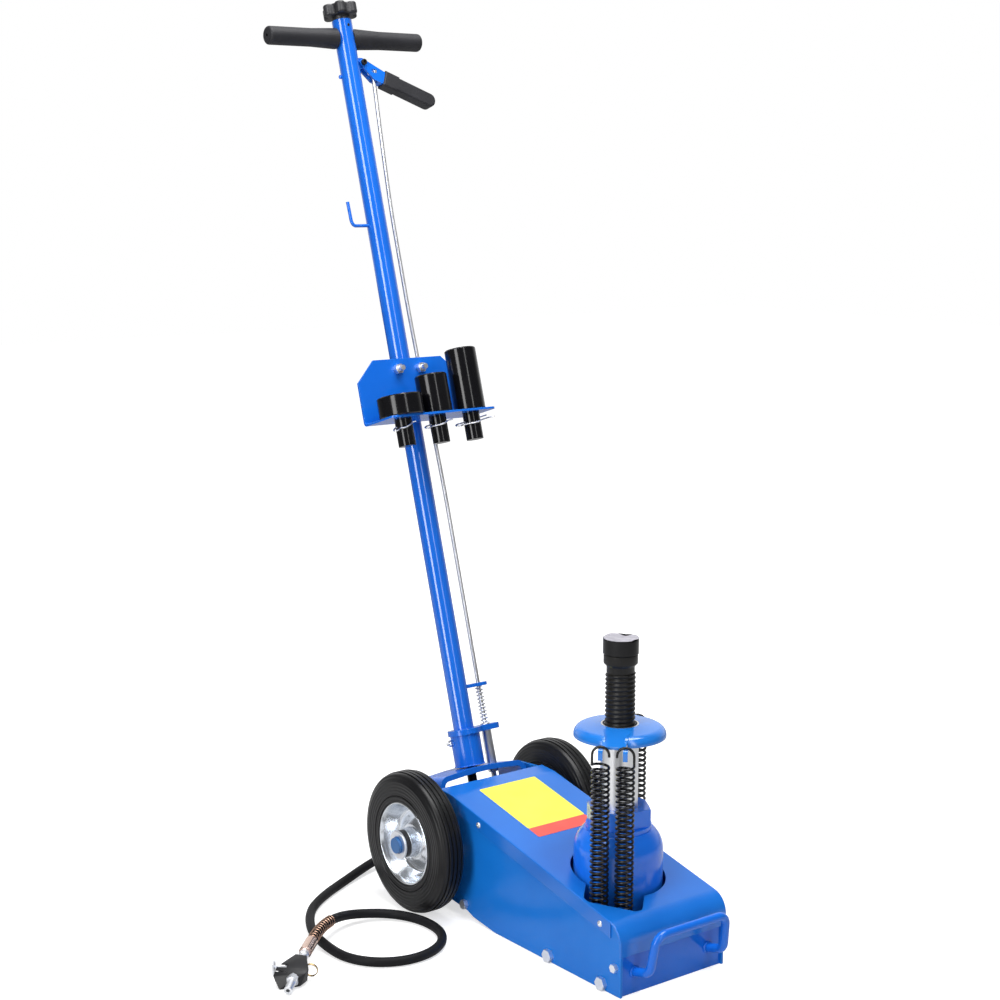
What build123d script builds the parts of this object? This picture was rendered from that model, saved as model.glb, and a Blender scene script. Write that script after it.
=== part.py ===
from build123d import *
from math import atan2, cos, degrees, pi, radians, sin, sqrt, tan
import os

# A wheeled air-hydraulic axle jack, in millimetres.
# The origin is on the floor under the lifting ram. The front is -Y and up is +Z.

os.makedirs("parts", exist_ok=True)

# Clearances
running_gap = 0.08
seat_gap = 0.1
body_gap = 0.3
rod_play = 0.5

# Chassis plates
frame_width = 180.0
plate_wall = 4.0
front_y = -110.0
rear_y = 345.0
flat_end_y = 152.0
kink_y = 201.0
kink_z = 6.6
step_y = 215.0
step_z = 12.0
rear_low_z = 27.0
rear_top_z = 165.0
plate_corner_r = 24.0
plate_edge = 0.6
kink_r = 30.0
step_r = 4.0

# Top cover
cover_wall = 2.0
cover_bend_y = 247.0
cover_bend_z = 171.0
cover_fall = 12.4
cover_rear_y = 276.0
cover_rear_z = 173.0
cover_lip_z = 54.5
cover_bend_r = 26.0
flange_height = 21.0
flange_front_y = -92.0
flange_rear_y = 230.0
flange_cut = 12.0
cover_edge_r = 1.6

# Floor plates and the front
base_height = 18.0
base_rear_y = 150.0
front_recess = 3.0
front_wall = 12.0
rear_floor_wall = 6.0
rear_floor_y = 207.0
rear_lug_width = 9.0
rear_lug_length = 22.0
rear_lug_drop = 13.0

# Carry handle
carry_r = 5.75
carry_half = 63.5
carry_top_half = 59.5
carry_foot_z = 28.5
carry_low = (-136.5, 36.0)
carry_high = (-144.0, 86.5)
carry_bend_r = 15.0

# Frame bolts: y, z, head size across flats
bolt_shank_r = 4.0
bolt_head_height = 6.0
side_bolts = [(32.0, 9.0, 16.0), (-76.0, 9.0, 16.0), (-101.0, 38.5, 10.0), (219.0, 20.5, 12.0)]

# Wheels
axle_y = 290.0
wheel_r = 100.0
wheel_width = 40.0
wheel_gap = 17.5
tyre_bore_r = 57.0
tyre_keel_r = 51.0
tyre_seat_r = 8.0
rim_open_r = 60.0
bead_inset = 5.0
tyre_shoulder = 5.0
tyre_crown = 6.0
tyre_groove_r = 67.5
tyre_groove_depth = 1.3
groove_edge_r = 0.5
groove_floor_r = 0.4
tyre_lip_r = 1.0
tyre_shoulder_r = 12.0
tyre_crown_r = 4.0
tread_grooves = 4
tread_pitch = 6.6
tread_depth = 2.0
tread_groove_width = 2.2
axle_r = 11.0
axle_tip = 4.6
axle_shoulder_r = 14.0
axle_ring_wall = 2.5
bush_r = 15.0
bush_flange_r = 19.5
bush_flange_wall = 7.0
hub_r = 21.0
hub_in = 22.0
hub_out = 18.0
rim_wall = 2.5
rim_lip = 3.5
web_r = 40.0
web_set = 6.0
web_hub = 4.0

# Bottle cylinder and gland nut
bottle_r = 59.3
bottle_straight_z = 148.0
bottle_neck_r = 46.0
bottle_round_r = 38.0
bottle_top_z = 183.0
bottle_floor_z = 44.0
neck_collar_r = 43.5
neck_collar_height = 6.0
nut_across_flats = 77.0
nut_height = 24.0
nut_chamfer = 4.0

# Ram, extension screw and saddle
ram_r = 25.0
ram_bottom_z = 152.0
plate_top_z = 318.4
ram_bore_z = 200.0
piston_gap = 0.5
screw_r = 20.0
screw_bottom_z = 276.0
neck_r = 18.5
neck_bottom_z = 386.2
collar_r = 22.5
collar_bottom_z = 399.7
collar_top_z = 412.1
saddle_r = 23.5
saddle_top_z = 433.6
saddle_turn = -54.0
saddle_trough = 3.2
saddle_trough_half = 13.0
saddle_cross = 1.6
set_screw_r = 1.8
set_screw_depth = 5.0
set_screw_z = 415.0
set_screw_turn = -63.5
screw_end_chamfer = 2.0
neck_step = 1.5
collar_cone = 4.0
saddle_spigot_r = 10.0
saddle_spigot_length = 12.0

# Spring plate, near the diagonal of the chassis
spring_turn = -47.2
spring_plate_edge = 15.0
spring_plate_wall = 3.5
spring_plate_depth = 16.1
spring_plate_dome = 4.0
spring_plate_round = 8.0
tab_half_width = 19.0
tab_short = 5.0
tab_drop = 11.3
channel_half = 12.0
channel_corner_r = 9.0
finger_width = 6.0
finger_over = 5.0
finger_drop = 11.0
finger_bend_r = 1.0

# Return springs
spring_clear = 16.7
spring_half_gap = 16.0
spring_wire = 3.5
spring_coil_r = 11.2
spring_turns = 18
spring_low_z = 70.0
spring_high_z = 284.0
hook_r = 9.0
anchor_finger_z = 42.0
anchor_short = 8.0
anchor_wall = 4.0
anchor_margin = 4.0
anchor_finger_over = 2.0

# Opening in the cover
opening_turn = -45.0
opening_gap = 4.0
opening_over = 17.0
opening_half = 38.0
opening_corner_r = 12.0

# Handle: lean, foot of the sleeve, and places along the tube
handle_lean = 16.7
handle_foot = (0.0, 329.8, 175.4)
pivot_drop = 52.0
tube_r = 15.0
tube_wall = 2.5
tube_length = 1121.0
sleeve_wall = 6.65
sleeve_length = 46.0
yoke_gap = 9.0
yoke_wall = 8.0
yoke_half_width = 30.0
yoke_fall = 6.0
yoke_bend_r = 8.0
yoke_arch_r = 420.0
yoke_boss_r = 16.0
yoke_bolt_r = 6.0
yoke_bolt_head = 18.0
yoke_nut_height = 8.0
yoke_bolt_end = 2.0
yoke_rod_play = 2.0
plug_height = 5.0
plug_sink = 1.0

# Handle lock
lock_out = 17.25
lock_plate_wall = 8.0
lock_plate_rim = 2.75
lock_plate_over = 21.7
lock_plate_half = 12.0
lock_pin_r = 7.25
lock_pin_top = 56.0
lock_nose_r = 4.0
lock_nose_length = 12.0
lock_pin_tip = -28.0
lock_rod_r = 3.0
rod_low_s = 440.0
rod_mid_s = 640.0
rod_high_drop = 183.0
rod_inset = 9.0
rod_bend_r = 400.0
quadrant_wall = 8.0
quadrant_rear_y = 336.0
quadrant_front_y = 306.0
notch_half = 4.4
notch_depth = 7.0
notch_angles = (0.0, 46.7)
bracket_s = 111.0
bracket_wall = 5.0
bracket_over = 13.5
bracket_half = 10.0
lock_coil_r = 5.4
lock_wire = 1.6
lock_turns = 9

# Squeeze lever: places are across from the tube and down from its top, then from the pivot
lever_pivot_out = 6.0
lever_pivot_drop = 65.0
lever_eye_from = (19.0, -13.0)
lever_start_from = (26.0, -20.0)
lever_end_from = (119.0, -59.0)
lever_pin_r = 3.0
stud_over = 2.0
lever_cheek_wall = 3.0
lever_lug_wall = 8.0
lever_lug_half = 8.0
lever_depth = 19.0
lever_block = 15.2
tongue_length = 60.0
tongue_depth = 9.5
lever_grip_half = 9.5
grip_collar_length = 25.0
grip_collar_depth = 24.5
lever_grip_depth = 21.0
lever_grip_edge = 2.5
eye_pin_r = 2.5
eye_slot = 3.8
eye_rise = 0.7
eye_play = 0.4

# Cross bar and grips
cross_drop = 27.5
cross_r = 11.0
cross_half = 133.8
grip_r = 13.5
grip_flare_r = 15.5
grip_end_wall = 4.0
grip_end_hole_r = 2.5
grip_end_round = 4.0
grip_gap = 1.0
grip_flare_x = 60.0
grip_flare_bend = 120.0

# Release train
release_r = 5.0
knob_gap = 6.5
knob_height = 17.5
knob_edge_r = 3.0
knob_cap = 3.0
knob_lobe_r = 8.0
knob_lobe_place = 19.5
knob_lobes = 6
knob_core_r = 20.0
knob_valley_r = 3.0
knob_hub_r = 13.0
joint_hub_r = 6.8
joint_prong = (5.0, 9.0)
joint_prong_half = 4.0
joint_prong_tip = 6.0
joint_hub_clear = 14.0
joint_hub_wall = 4.0
joint_hub_low = 3.0
trunnion_r = 2.5
cross_half_size = 4.0
stem_r = 4.0
stem_end = 78.0
fork_hub_length = 5.0
fork_hub_wall = 2.0

# Pump block, air motor and inlet
pump_half = 30.0
pump_front_y = 258.0
pump_rear_y = 334.0
pump_top_z = 72.0
pump_chamfer = 5.0
motor_r = 36.0
motor_front_y = 160.0
motor_round = 8.0
inlet_z = 42.0
inlet_r = 9.0
inlet_wall = 1.0
inlet_end_y = 362.0

# Hose hook on the left of the tube
hose_hook_r = 2.5
hose_hook_s = 808.0
hose_hook_reach = 43.5
hose_hook_tip = 844.0
hose_hook_bend_r = 9.0
hose_hook_splay = 1.0
hose_hook_sink = 1.0

# Tool tray, its U-bolt and the adapters
tray_half = 92.0
tray_s = 510.0
tray_gap = 0.6
tray_wall = 3.0
tray_reach_f = 92.0
tray_height = 93.0
tray_chamfer = 32.0
tray_bend_r = 3.0
tray_corner_r = 9.0
ubolt_r = 4.0
ubolt_gap = 1.0
ubolt_s = 587.0
ubolt_end_f = 34.0
ubolt_nut_across = 13.0
ubolt_nut_height = 7.0
adapter_f = 69.0
adapter_spacing = 60.0
adapter_spigot_r = 12.5
adapter_spigot_end = 467.0
adapter_edge = 1.5
adapter_bore_play = 0.5
adapter_floor = 6.0
adapter_bore_depth = 45.0
adapters = [
    ("pad_adapter", -1, 33.0, 30.0),
    ("short_adapter", 0, 23.5, 57.0),
    ("long_adapter", 1, 23.0, 92.0),
]

# Air hose
hose_r = 6.5
hose_points = [
    (0.0, 362.0, 42.0),
    (0.0, 399.0, 42.0),
    (-19.0, 432.0, 34.0),
    (-53.0, 451.0, 22.0),
    (-105.0, 447.0, 10.5),
    (-159.0, 423.0, 6.6),
    (-209.0, 396.0, 6.7),
    (-250.0, 366.0, 6.6),
    (-277.0, 330.0, 6.7),
    (-297.0, 288.0, 6.6),
    (-306.0, 240.0, 6.7),
    (-306.0, 192.5, 6.6),
    (-285.5, 156.5, 6.7),
    (-249.5, 136.0, 6.6),
    (-208.5, 136.0, 6.7),
    (-172.5, 156.5, 6.6),
    (-152.0, 192.5, 6.7),
    (-153.0, 239.5, 7.0),
    (-174.5, 275.5, 8.5),
    (-210.0, 294.5, 11.5),
    (-247.0, 293.5, 17.5),
    (-283.0, 272.0, 24.5),
    (-315.0, 248.5, 25.5),
    (-345.5, 219.5, 23.5),
]
guard_length = 72.0
guard_wire = 2.4
guard_turns = 12
ferrule_r = 8.5
ferrule_length = 32.0
ferrule_grip = 14.0
hose_arc_share = 0.45
guard_end_gap = 0.75

# Hand valve on the hose, its nose dipping to the floor
valve_dip = 10.0
valve_width = 48.0
valve_low_width = 30.0
valve_up = 11.0
valve_down = 12.0
valve_length = 58.0
valve_shoulder = 42.0
valve_neck = 22.0
valve_edge = 1.5
nipple_r = 5.5
nipple_length = 28.0
nipple_hex = 14.0
nipple_hex_length = 8.0
nipple_bore_r = 2.5
thumb_wall = 2.5
thumb_width = 10.0
thumb_height = 17.0
thumb_reach = 10.0
thumb_arm = 5.0
thumb_eye_r = 4.5
thumb_pin_r = 2.0
thumb_slot_depth = 13.0
thumb_slot_half = 11.0
thumb_place = 44.0
thumb_lift = 3.0

# Values worked out from the sizes above
plate_in = frame_width / 2 - plate_wall
wheel_x = frame_width / 2 + wheel_gap + wheel_width / 2
bush_end = hub_out + seat_gap + bush_flange_wall
axle_ring_x = wheel_x + bush_end + body_gap
axle_end_x = axle_ring_x + axle_ring_wall + axle_tip
opening_r = bottle_r + opening_gap
spring_reach = bottle_r + spring_clear
opening_reach = spring_reach + opening_over
spring_plate_r = spring_reach - spring_plate_edge
tab_reach = spring_reach - tab_short
finger_reach = spring_reach + finger_over
tab_fall = tab_drop / (tab_reach - ram_r)
tab_top = plate_top_z - tab_drop
finger_top = tab_top - tab_fall * (finger_over + tab_short) / 2
ram_hole_r = ram_r + seat_gap
disc_edge = (spring_plate_r, plate_top_z - spring_plate_dome)
disc_low = (spring_plate_r, plate_top_z - spring_plate_depth)
anchor_reach = spring_reach - anchor_short
sleeve_r = tube_r + seat_gap + sleeve_wall
yoke_half = plate_in - yoke_gap
lock_x = sleeve_r + lock_out
lock_plate_r = sleeve_r + lock_plate_rim
lock_plate_reach = lock_x + lock_plate_over
bracket_reach = lock_x + bracket_over
lever_pivot = (tube_r + lever_pivot_out, tube_length - lever_pivot_drop)
lever_eye = (lever_pivot[0] + lever_eye_from[0], lever_pivot[1] + lever_eye_from[1])
lever_start = (lever_pivot[0] + lever_start_from[0], lever_pivot[1] + lever_start_from[1])
lever_end = (lever_pivot[0] + lever_end_from[0], lever_pivot[1] + lever_end_from[1])
cross_s = tube_length - cross_drop
knob_s = tube_length + knob_gap
tray_back_f = tube_r + tray_gap
ubolt_half = tube_r + ubolt_r + ubolt_gap
cover_slope = tan(radians(cover_fall))
cover_drop = cover_wall / cos(radians(cover_fall)) + seat_gap
lip_y = front_y - cover_wall
rear_floor_top = rear_low_z + rear_floor_wall
motor_z = rear_floor_top + motor_r + seat_gap
front_plate_y = front_y + front_recess
lean = radians(handle_lean)
axle_z = wheel_r
handle_axis = Vector(0, sin(lean), cos(lean))
handle_front = Vector(0, -cos(lean), sin(lean))
foot = Vector(*handle_foot)
pivot = foot - handle_axis * pivot_drop
tube_plane = Plane(origin=foot, x_dir=(1, 0, 0), z_dir=handle_axis)
face_plane = Plane(origin=foot, x_dir=(1, 0, 0), z_dir=handle_front)
side_plane = Plane(origin=foot, x_dir=handle_front, z_dir=(-1, 0, 0))
diagonal = Plane.XY.rotated((0, 0, spring_turn))
tab_plane = Plane(origin=(0, 0, 0), x_dir=diagonal.y_dir, z_dir=diagonal.x_dir)
opening_plane = Plane.XY.rotated((0, 0, opening_turn))


def cover_top(y):
    """Height of the cover's outer face over a place on the floor line."""
    return cover_bend_z - (cover_bend_y - y) * cover_slope


def on_handle(x, s, f):
    """Point at x across, s along the tube and f in front of its axis."""
    return foot + Vector(x, 0, 0) + handle_axis * s + handle_front * f


def finish(builder, name):
    """Name a finished piece and write its file."""
    builder.part.label = name
    export_step(builder.part, f"parts/{name}.step")


def offset_points(points, wall):
    """Points of an open path moved to its left by the wall."""
    moved = []
    for i, point in enumerate(points):
        here = Vector(*point)
        before = (here - Vector(*points[i - 1])).normalized() if i > 0 else None
        after = (Vector(*points[i + 1]) - here).normalized() if i < len(points) - 1 else None
        into = before or after
        out = after or before
        n_in = Vector(-into.Y, into.X)
        n_out = Vector(-out.Y, out.X)
        miter = (n_in + n_out).normalized()
        moved.append(here + miter * (wall / miter.dot(n_in)))
    return [(p.X, p.Y) for p in moved]


def bent_sheet(points, wall, bends):
    """Section of a bent sheet, drawn in the current sketch on the left of a path."""
    other = offset_points(points, wall)
    first = []
    second = []
    for i, bend in enumerate(bends, start=1):
        into = Vector(*points[i]) - Vector(*points[i - 1])
        out = Vector(*points[i + 1]) - Vector(*points[i])
        turns_to_wall = (into.X * out.Y - into.Y * out.X) * wall > 0
        first.append(bend + abs(wall) if turns_to_wall else bend)
        second.append(bend if turns_to_wall else bend + abs(wall))
    with BuildLine() as outline:
        FilletPolyline(*points, radius=first)
        FilletPolyline(*other, radius=second)
        Line(points[0], other[0])
        Line(points[-1], other[-1])
    make_face(outline.edges())


def biarc(start, start_dir, end, end_dir):
    """Two tangent arcs from one point and direction to the next, in the current line."""
    chord = end - start
    both = start_dir + end_dir
    spread = 2 * (1 - start_dir.dot(end_dir))
    reach = chord.dot(both)
    if spread < 1e-6:
        arm = chord.length / 2
    else:
        arm = (sqrt(reach**2 + spread * chord.dot(chord)) - reach) / spread
    first = start + start_dir * arm
    second = end - end_dir * arm
    middle = (first + second) * 0.5
    TangentArc(start, middle, tangent=start_dir)
    TangentArc(middle, end, tangent=second - first)


def bend_wire(stations, wire, sides=4):
    """Sweep a wire through stations of point and direction, with short straight ends."""
    ends = (stations[0], stations[-1])
    tail = stations[0][0] - stations[0][1] * wire
    tip = stations[-1][0] + stations[-1][1] * wire
    with BuildLine() as path:
        Line(tail, ends[0][0])
        for (start, start_dir), (end, end_dir) in zip(stations, stations[1:]):
            biarc(start, start_dir, end, end_dir)
        Line(ends[1][0], tip)
    with BuildSketch(Plane(origin=tail, z_dir=stations[0][1])) as section:
        RegularPolygon(wire / 2, sides)
    sweep(section.sketch, path=path.line, clean=False)
    return path.wire()


def least_gap(line, wire, name):
    """Print the least gap of a wire to itself, measured on points along its line."""
    count = int(line.length / wire)
    points = [line @ (i / count) for i in range(count + 1)]
    skip = 5
    gap = min(
        (a - b).length for i, a in enumerate(points) for b in points[i + skip :]
    )
    print(f"{name} least gap {gap - wire:.2f} mm")


def drill_bolts(start_y, end_y):
    """Holes across the current part for the frame bolts that lie between two places."""
    for bolt_y, bolt_z, across in side_bolts:
        if start_y < bolt_y < end_y:
            with BuildSketch(Plane.YZ.offset(-plate_in)) as hole:
                with Locations((bolt_y, bolt_z)):
                    Circle(bolt_shank_r + seat_gap)
            extrude(hole.sketch, amount=2 * plate_in, mode=Mode.SUBTRACT)


def over_channel(rise, wall):
    """Solid over the floor of the spring plate's channels, raised by rise, its outline widened by wall."""
    with BuildPart() as space:
        with BuildSketch(tab_plane):
            with BuildLine():
                far = 2 * tab_reach
                near_z = plate_top_z + rise + tab_fall * ram_r
                far_z = near_z - tab_fall * far
                Polyline(
                    (-far, far_z),
                    (0, near_z),
                    (far, far_z),
                    (far, 2 * plate_top_z),
                    (-far, 2 * plate_top_z),
                    close=True,
                )
            make_face()
        extrude(amount=2 * tab_half_width, both=True)
        with BuildSketch(diagonal):
            with BuildLine():
                flare = [
                    (tab_half_width + wall, 0),
                    (tab_half_width + wall, ram_r),
                    (channel_half + wall, spring_plate_r),
                    (channel_half + wall, 2 * tab_reach),
                ]
                bends = [0, channel_corner_r, channel_corner_r, 0]
                other_side = [(-x, y) for x, y in reversed(flare)]
                FilletPolyline(*flare, *other_side, radius=bends + bends, close=True)
            make_face()
            mirror(about=Plane.XZ)
        extrude(amount=2 * plate_top_z, mode=Mode.INTERSECT)
    return space.part


def coil_stations(frame, radius, length, turns, start_turn=0.0):
    """Stations every half turn along a coil that climbs the frame's own axis."""
    stations = []
    pitch = length / turns
    for i in range(2 * turns + 1):
        angle = start_turn + pi * i
        across = frame.x_dir * cos(angle) + frame.y_dir * sin(angle)
        along = frame.y_dir * cos(angle) - frame.x_dir * sin(angle)
        point = frame.origin + across * radius + frame.z_dir * (length * i / (2 * turns))
        direction = (along * (2 * pi * radius) + frame.z_dir * pitch).normalized()
        stations.append((point, direction))
    return stations


# Side plates: bottom with its kink, rounded rear, top under the cover
for name, side in (("left", -1), ("right", 1)):
    with BuildPart() as side_plate:
        with BuildSketch(Plane.YZ.offset(side * plate_in)):
            with BuildLine():
                FilletPolyline(
                    (front_y, 0),
                    (flat_end_y, 0),
                    (kink_y, kink_z),
                    (step_y, step_z),
                    (rear_y, rear_low_z),
                    (rear_y, rear_top_z),
                    (cover_rear_y, cover_rear_z - cover_drop),
                    (cover_bend_y, cover_bend_z - cover_drop),
                    (front_y, cover_top(front_y) - cover_drop),
                    radius=[
                        0,
                        kink_r,
                        step_r,
                        step_r,
                        plate_corner_r,
                        plate_corner_r,
                        0,
                        2 * cover_bend_r,
                        cover_bend_r,
                    ],
                    close=True,
                )
            make_face()
            with Locations((axle_y, axle_z)):
                Circle(axle_shoulder_r + seat_gap, mode=Mode.SUBTRACT)
            with Locations((pivot.Y, pivot.Z)):
                Circle(yoke_bolt_r + seat_gap, mode=Mode.SUBTRACT)
            for bolt_y, bolt_z, across in side_bolts:
                with Locations((bolt_y, bolt_z)):
                    Circle(bolt_shank_r + seat_gap, mode=Mode.SUBTRACT)
        extrude(amount=side * plate_wall)
        outside = side_plate.faces().sort_by(Axis.X)[-1 if side > 0 else 0]
        chamfer(outside.outer_wire().edges(), plate_edge)
    finish(side_plate, f"{name}_side_plate")

# Top cover: one folded sheet with side flanges and the opening for bottle and springs
with BuildPart() as top_cover:
    cover_half = frame_width / 2 + cover_wall
    with BuildSketch(Plane.YZ):
        bent_sheet(
            [
                (lip_y, cover_lip_z),
                (lip_y, cover_top(lip_y)),
                (cover_bend_y, cover_bend_z),
                (cover_rear_y, cover_rear_z),
            ],
            -cover_wall,
            [cover_bend_r, 2 * cover_bend_r],
        )
    extrude(amount=cover_half, both=True)
    with BuildSketch(Plane.YZ.offset(frame_width / 2)) as flange:
        with BuildLine():
            Polyline(
                (flange_front_y, cover_top(flange_front_y) - cover_wall / 2),
                (flange_rear_y + flange_cut, cover_top(flange_rear_y + flange_cut) - cover_wall / 2),
                (flange_rear_y, cover_top(flange_rear_y) - flange_height),
                (flange_front_y, cover_top(flange_front_y) - flange_height),
                close=True,
            )
        make_face()
    extrude(amount=cover_wall)
    mirror(about=Plane.YZ)
    folds = top_cover.edges().filter_by(lambda e: abs(abs(e.center().X) - cover_half) < seat_gap / 2)
    top_folds = folds.filter_by(lambda e: e.center().Z > cover_top(e.center().Y) - cover_wall / 4)
    fillet(top_folds, cover_edge_r)
    with BuildSketch(opening_plane.offset(cover_lip_z)):
        Circle(opening_r)
        RectangleRounded(2 * opening_half, 2 * opening_reach, opening_corner_r)
    extrude(amount=cover_rear_z, mode=Mode.SUBTRACT)
finish(top_cover, "top_cover")

# Front plate, set back under the cover's lip and drilled at its ends for the frame bolts
with BuildPart() as front_plate:
    with BuildSketch(Plane.XZ.offset(-front_plate_y)):
        Rectangle(2 * plate_in, cover_lip_z + cover_bend_r / 2, align=(Align.CENTER, Align.MIN))
    extrude(amount=-front_wall)
    drill_bolts(front_plate_y, front_plate_y + front_wall)
finish(front_plate, "front_plate")

# Base plate that carries the bottle, drilled from both sides for the frame bolts
with BuildPart() as base_plate:
    base_front_y = front_plate_y + front_wall
    base_length = base_rear_y - base_front_y
    with Locations((0, base_front_y + base_length / 2, 0)):
        Box(2 * plate_in, base_length, base_height, align=(Align.CENTER, Align.CENTER, Align.MIN))
    drill_bolts(base_front_y, base_rear_y)
finish(base_plate, "base_plate")

# Rear floor that carries the pump block and the lock quadrant, with a bolted lug on each side
with BuildPart() as rear_floor:
    with BuildSketch(Plane.XY.offset(rear_low_z)):
        with Locations((0, rear_floor_y)):
            Rectangle(2 * plate_in, quadrant_rear_y - rear_floor_y, align=(Align.CENTER, Align.MIN))
    extrude(amount=rear_floor_wall)
    with BuildSketch(Plane.XY.offset(rear_low_z)):
        with Locations((0, rear_floor_y + rear_lug_length / 2)):
            with GridLocations(2 * plate_in - rear_lug_width, 0, 2, 1):
                Rectangle(rear_lug_width, rear_lug_length)
    extrude(amount=-rear_lug_drop)
    drill_bolts(rear_floor_y, quadrant_rear_y)
finish(rear_floor, "rear_floor")

# Carry handle: one bent bar welded to the front plate
with BuildPart() as carry_handle:
    with BuildLine() as carry_line:
        FilletPolyline(
            (-carry_half, front_plate_y, carry_foot_z),
            (-carry_half, carry_low[0], carry_low[1]),
            (-carry_top_half, carry_high[0], carry_high[1]),
            (carry_top_half, carry_high[0], carry_high[1]),
            (carry_half, carry_low[0], carry_low[1]),
            (carry_half, front_plate_y, carry_foot_z),
            radius=carry_bend_r,
        )
    with BuildSketch(Plane(origin=carry_line.line @ 0, z_dir=carry_line.line % 0)):
        Circle(carry_r)
    sweep()
    with BuildSketch(Plane.XZ.offset(-front_plate_y)):
        Rectangle(frame_width, frame_width)
    extrude(amount=-front_wall, mode=Mode.SUBTRACT)
finish(carry_handle, "carry_handle")

# Frame bolts: hex heads on both side plates, shanks into the plates behind
with BuildPart() as frame_bolts:
    for side in (-1, 1):
        head_plane = Plane.YZ.offset(side * frame_width / 2)
        for bolt_y, bolt_z, across in side_bolts:
            with BuildSketch(head_plane):
                with Locations((bolt_y, bolt_z)):
                    RegularPolygon(across / 2, 6, major_radius=False)
            extrude(amount=side * bolt_head_height)
            with BuildSketch(head_plane):
                with Locations((bolt_y, bolt_z)):
                    Circle(bolt_shank_r)
            extrude(amount=-side * (plate_wall + bolt_head_height))
finish(frame_bolts, "frame_bolts")

# Axle: a through bar with shoulders that keep the wheels off the side plates
with BuildPart() as axle:
    hub_in_x = wheel_x - hub_in - body_gap
    with BuildSketch(Plane.XY.offset(axle_z)):
        with BuildLine():
            Polyline(
                (0, axle_y),
                (0, axle_y + axle_r),
                (plate_in - plate_wall, axle_y + axle_r),
                (plate_in - plate_wall, axle_y + axle_shoulder_r),
                (hub_in_x, axle_y + axle_shoulder_r),
                (hub_in_x, axle_y + axle_r),
                (axle_ring_x, axle_y + axle_r),
                (axle_ring_x, axle_y + axle_shoulder_r),
                (axle_ring_x + axle_ring_wall, axle_y + axle_shoulder_r),
                (axle_ring_x + axle_ring_wall, axle_y + axle_r),
                (axle_end_x, axle_y + axle_r),
                (axle_end_x, axle_y),
                close=True,
            )
        make_face()
    revolve(axis=Axis((0, axle_y, axle_z), (1, 0, 0)))
    mirror(about=Plane.YZ)
finish(axle, "axle")

# Wheels: ribbed rubber tyre, dished rim with its hub, flanged bush
for name, side in (("left", -1), ("right", 1)):
    wheel_axis = Axis((0, axle_y, axle_z), (1, 0, 0))
    wheel_plane = Plane(origin=(side * wheel_x, axle_y, axle_z), x_dir=(side, 0, 0), z_dir=(0, 0, 1))
    half = wheel_width / 2
    bead = half - bead_inset
    tyre_half = [
        (bead, tyre_bore_r),
        (half, rim_open_r),
        (half, tyre_groove_r - tyre_groove_depth),
        (half - tyre_groove_depth, tyre_groove_r),
        (half, tyre_groove_r + tyre_groove_depth),
        (half, wheel_r - 2 * tyre_crown),
        (half - tyre_shoulder, wheel_r - tyre_crown / 3),
        (half - 2 * tyre_crown, wheel_r),
    ]
    groove_rounds = [groove_edge_r, groove_floor_r, groove_edge_r]
    rounds = [tyre_seat_r, tyre_lip_r, *groove_rounds, tyre_shoulder_r, tyre_crown_r, 0]
    outline = tyre_half + [(-x, r) for x, r in reversed(tyre_half)] + [(0, tyre_keel_r)]

    with BuildPart() as tyre:
        with BuildSketch(wheel_plane):
            with BuildLine():
                FilletPolyline(
                    *[(x, side * r) for x, r in outline],
                    radius=rounds + rounds[::-1] + [tyre_seat_r],
                    close=True,
                )
            make_face()
            with Locations((0, side * (wheel_r - tread_depth / 2))):
                with GridLocations(tread_pitch, 0, tread_grooves, 1):
                    Rectangle(tread_groove_width, tread_depth, mode=Mode.SUBTRACT)
        revolve(axis=wheel_axis)
    finish(tyre, f"{name}_tyre")

    with BuildPart() as rim:
        slope = (rim_open_r - tyre_bore_r) / bead_inset
        lip = (bead + rim_lip, tyre_bore_r + rim_lip * slope - seat_gap)
        with BuildSketch(wheel_plane):
            bent_sheet(
                [
                    (-lip[0], side * lip[1]),
                    (-bead, side * (tyre_bore_r - seat_gap)),
                    (0, side * (tyre_keel_r - seat_gap)),
                    (bead, side * (tyre_bore_r - seat_gap)),
                    (lip[0], side * lip[1]),
                ],
                -side * rim_wall,
                [rim_wall, rim_wall, rim_wall],
            )
        revolve(axis=wheel_axis)
        with BuildSketch(wheel_plane):
            bent_sheet(
                [
                    (0, side * (tyre_keel_r - rim_wall / 2)),
                    (-web_set, side * (tyre_keel_r - web_set)),
                    (-web_set, side * web_r),
                    (web_hub, side * (hub_r + web_hub)),
                    (web_hub, side * (hub_r - rim_wall / 2)),
                ],
                -side * rim_wall,
                [rim_wall, 2 * rim_wall, rim_wall],
            )
        revolve(axis=wheel_axis)
        with BuildSketch(wheel_plane):
            hub_length = hub_in - body_gap + hub_out
            with Locations(((hub_out - hub_in + body_gap) / 2, side * (bush_r + seat_gap + hub_r) / 2)):
                Rectangle(hub_length, hub_r - bush_r - seat_gap)
        revolve(axis=wheel_axis)
    finish(rim, f"{name}_rim")

    with BuildPart() as bush:
        bush_bore = axle_r + running_gap
        with BuildSketch(wheel_plane):
            with BuildLine():
                Polyline(
                    (-hub_in, side * bush_bore),
                    (-hub_in, side * bush_r),
                    (hub_out + seat_gap, side * bush_r),
                    (hub_out + seat_gap, side * bush_flange_r),
                    (bush_end, side * bush_flange_r),
                    (bush_end, side * bush_bore),
                    close=True,
                )
            make_face()
        revolve(axis=wheel_axis)
    finish(bush, f"{name}_bush")

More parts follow.
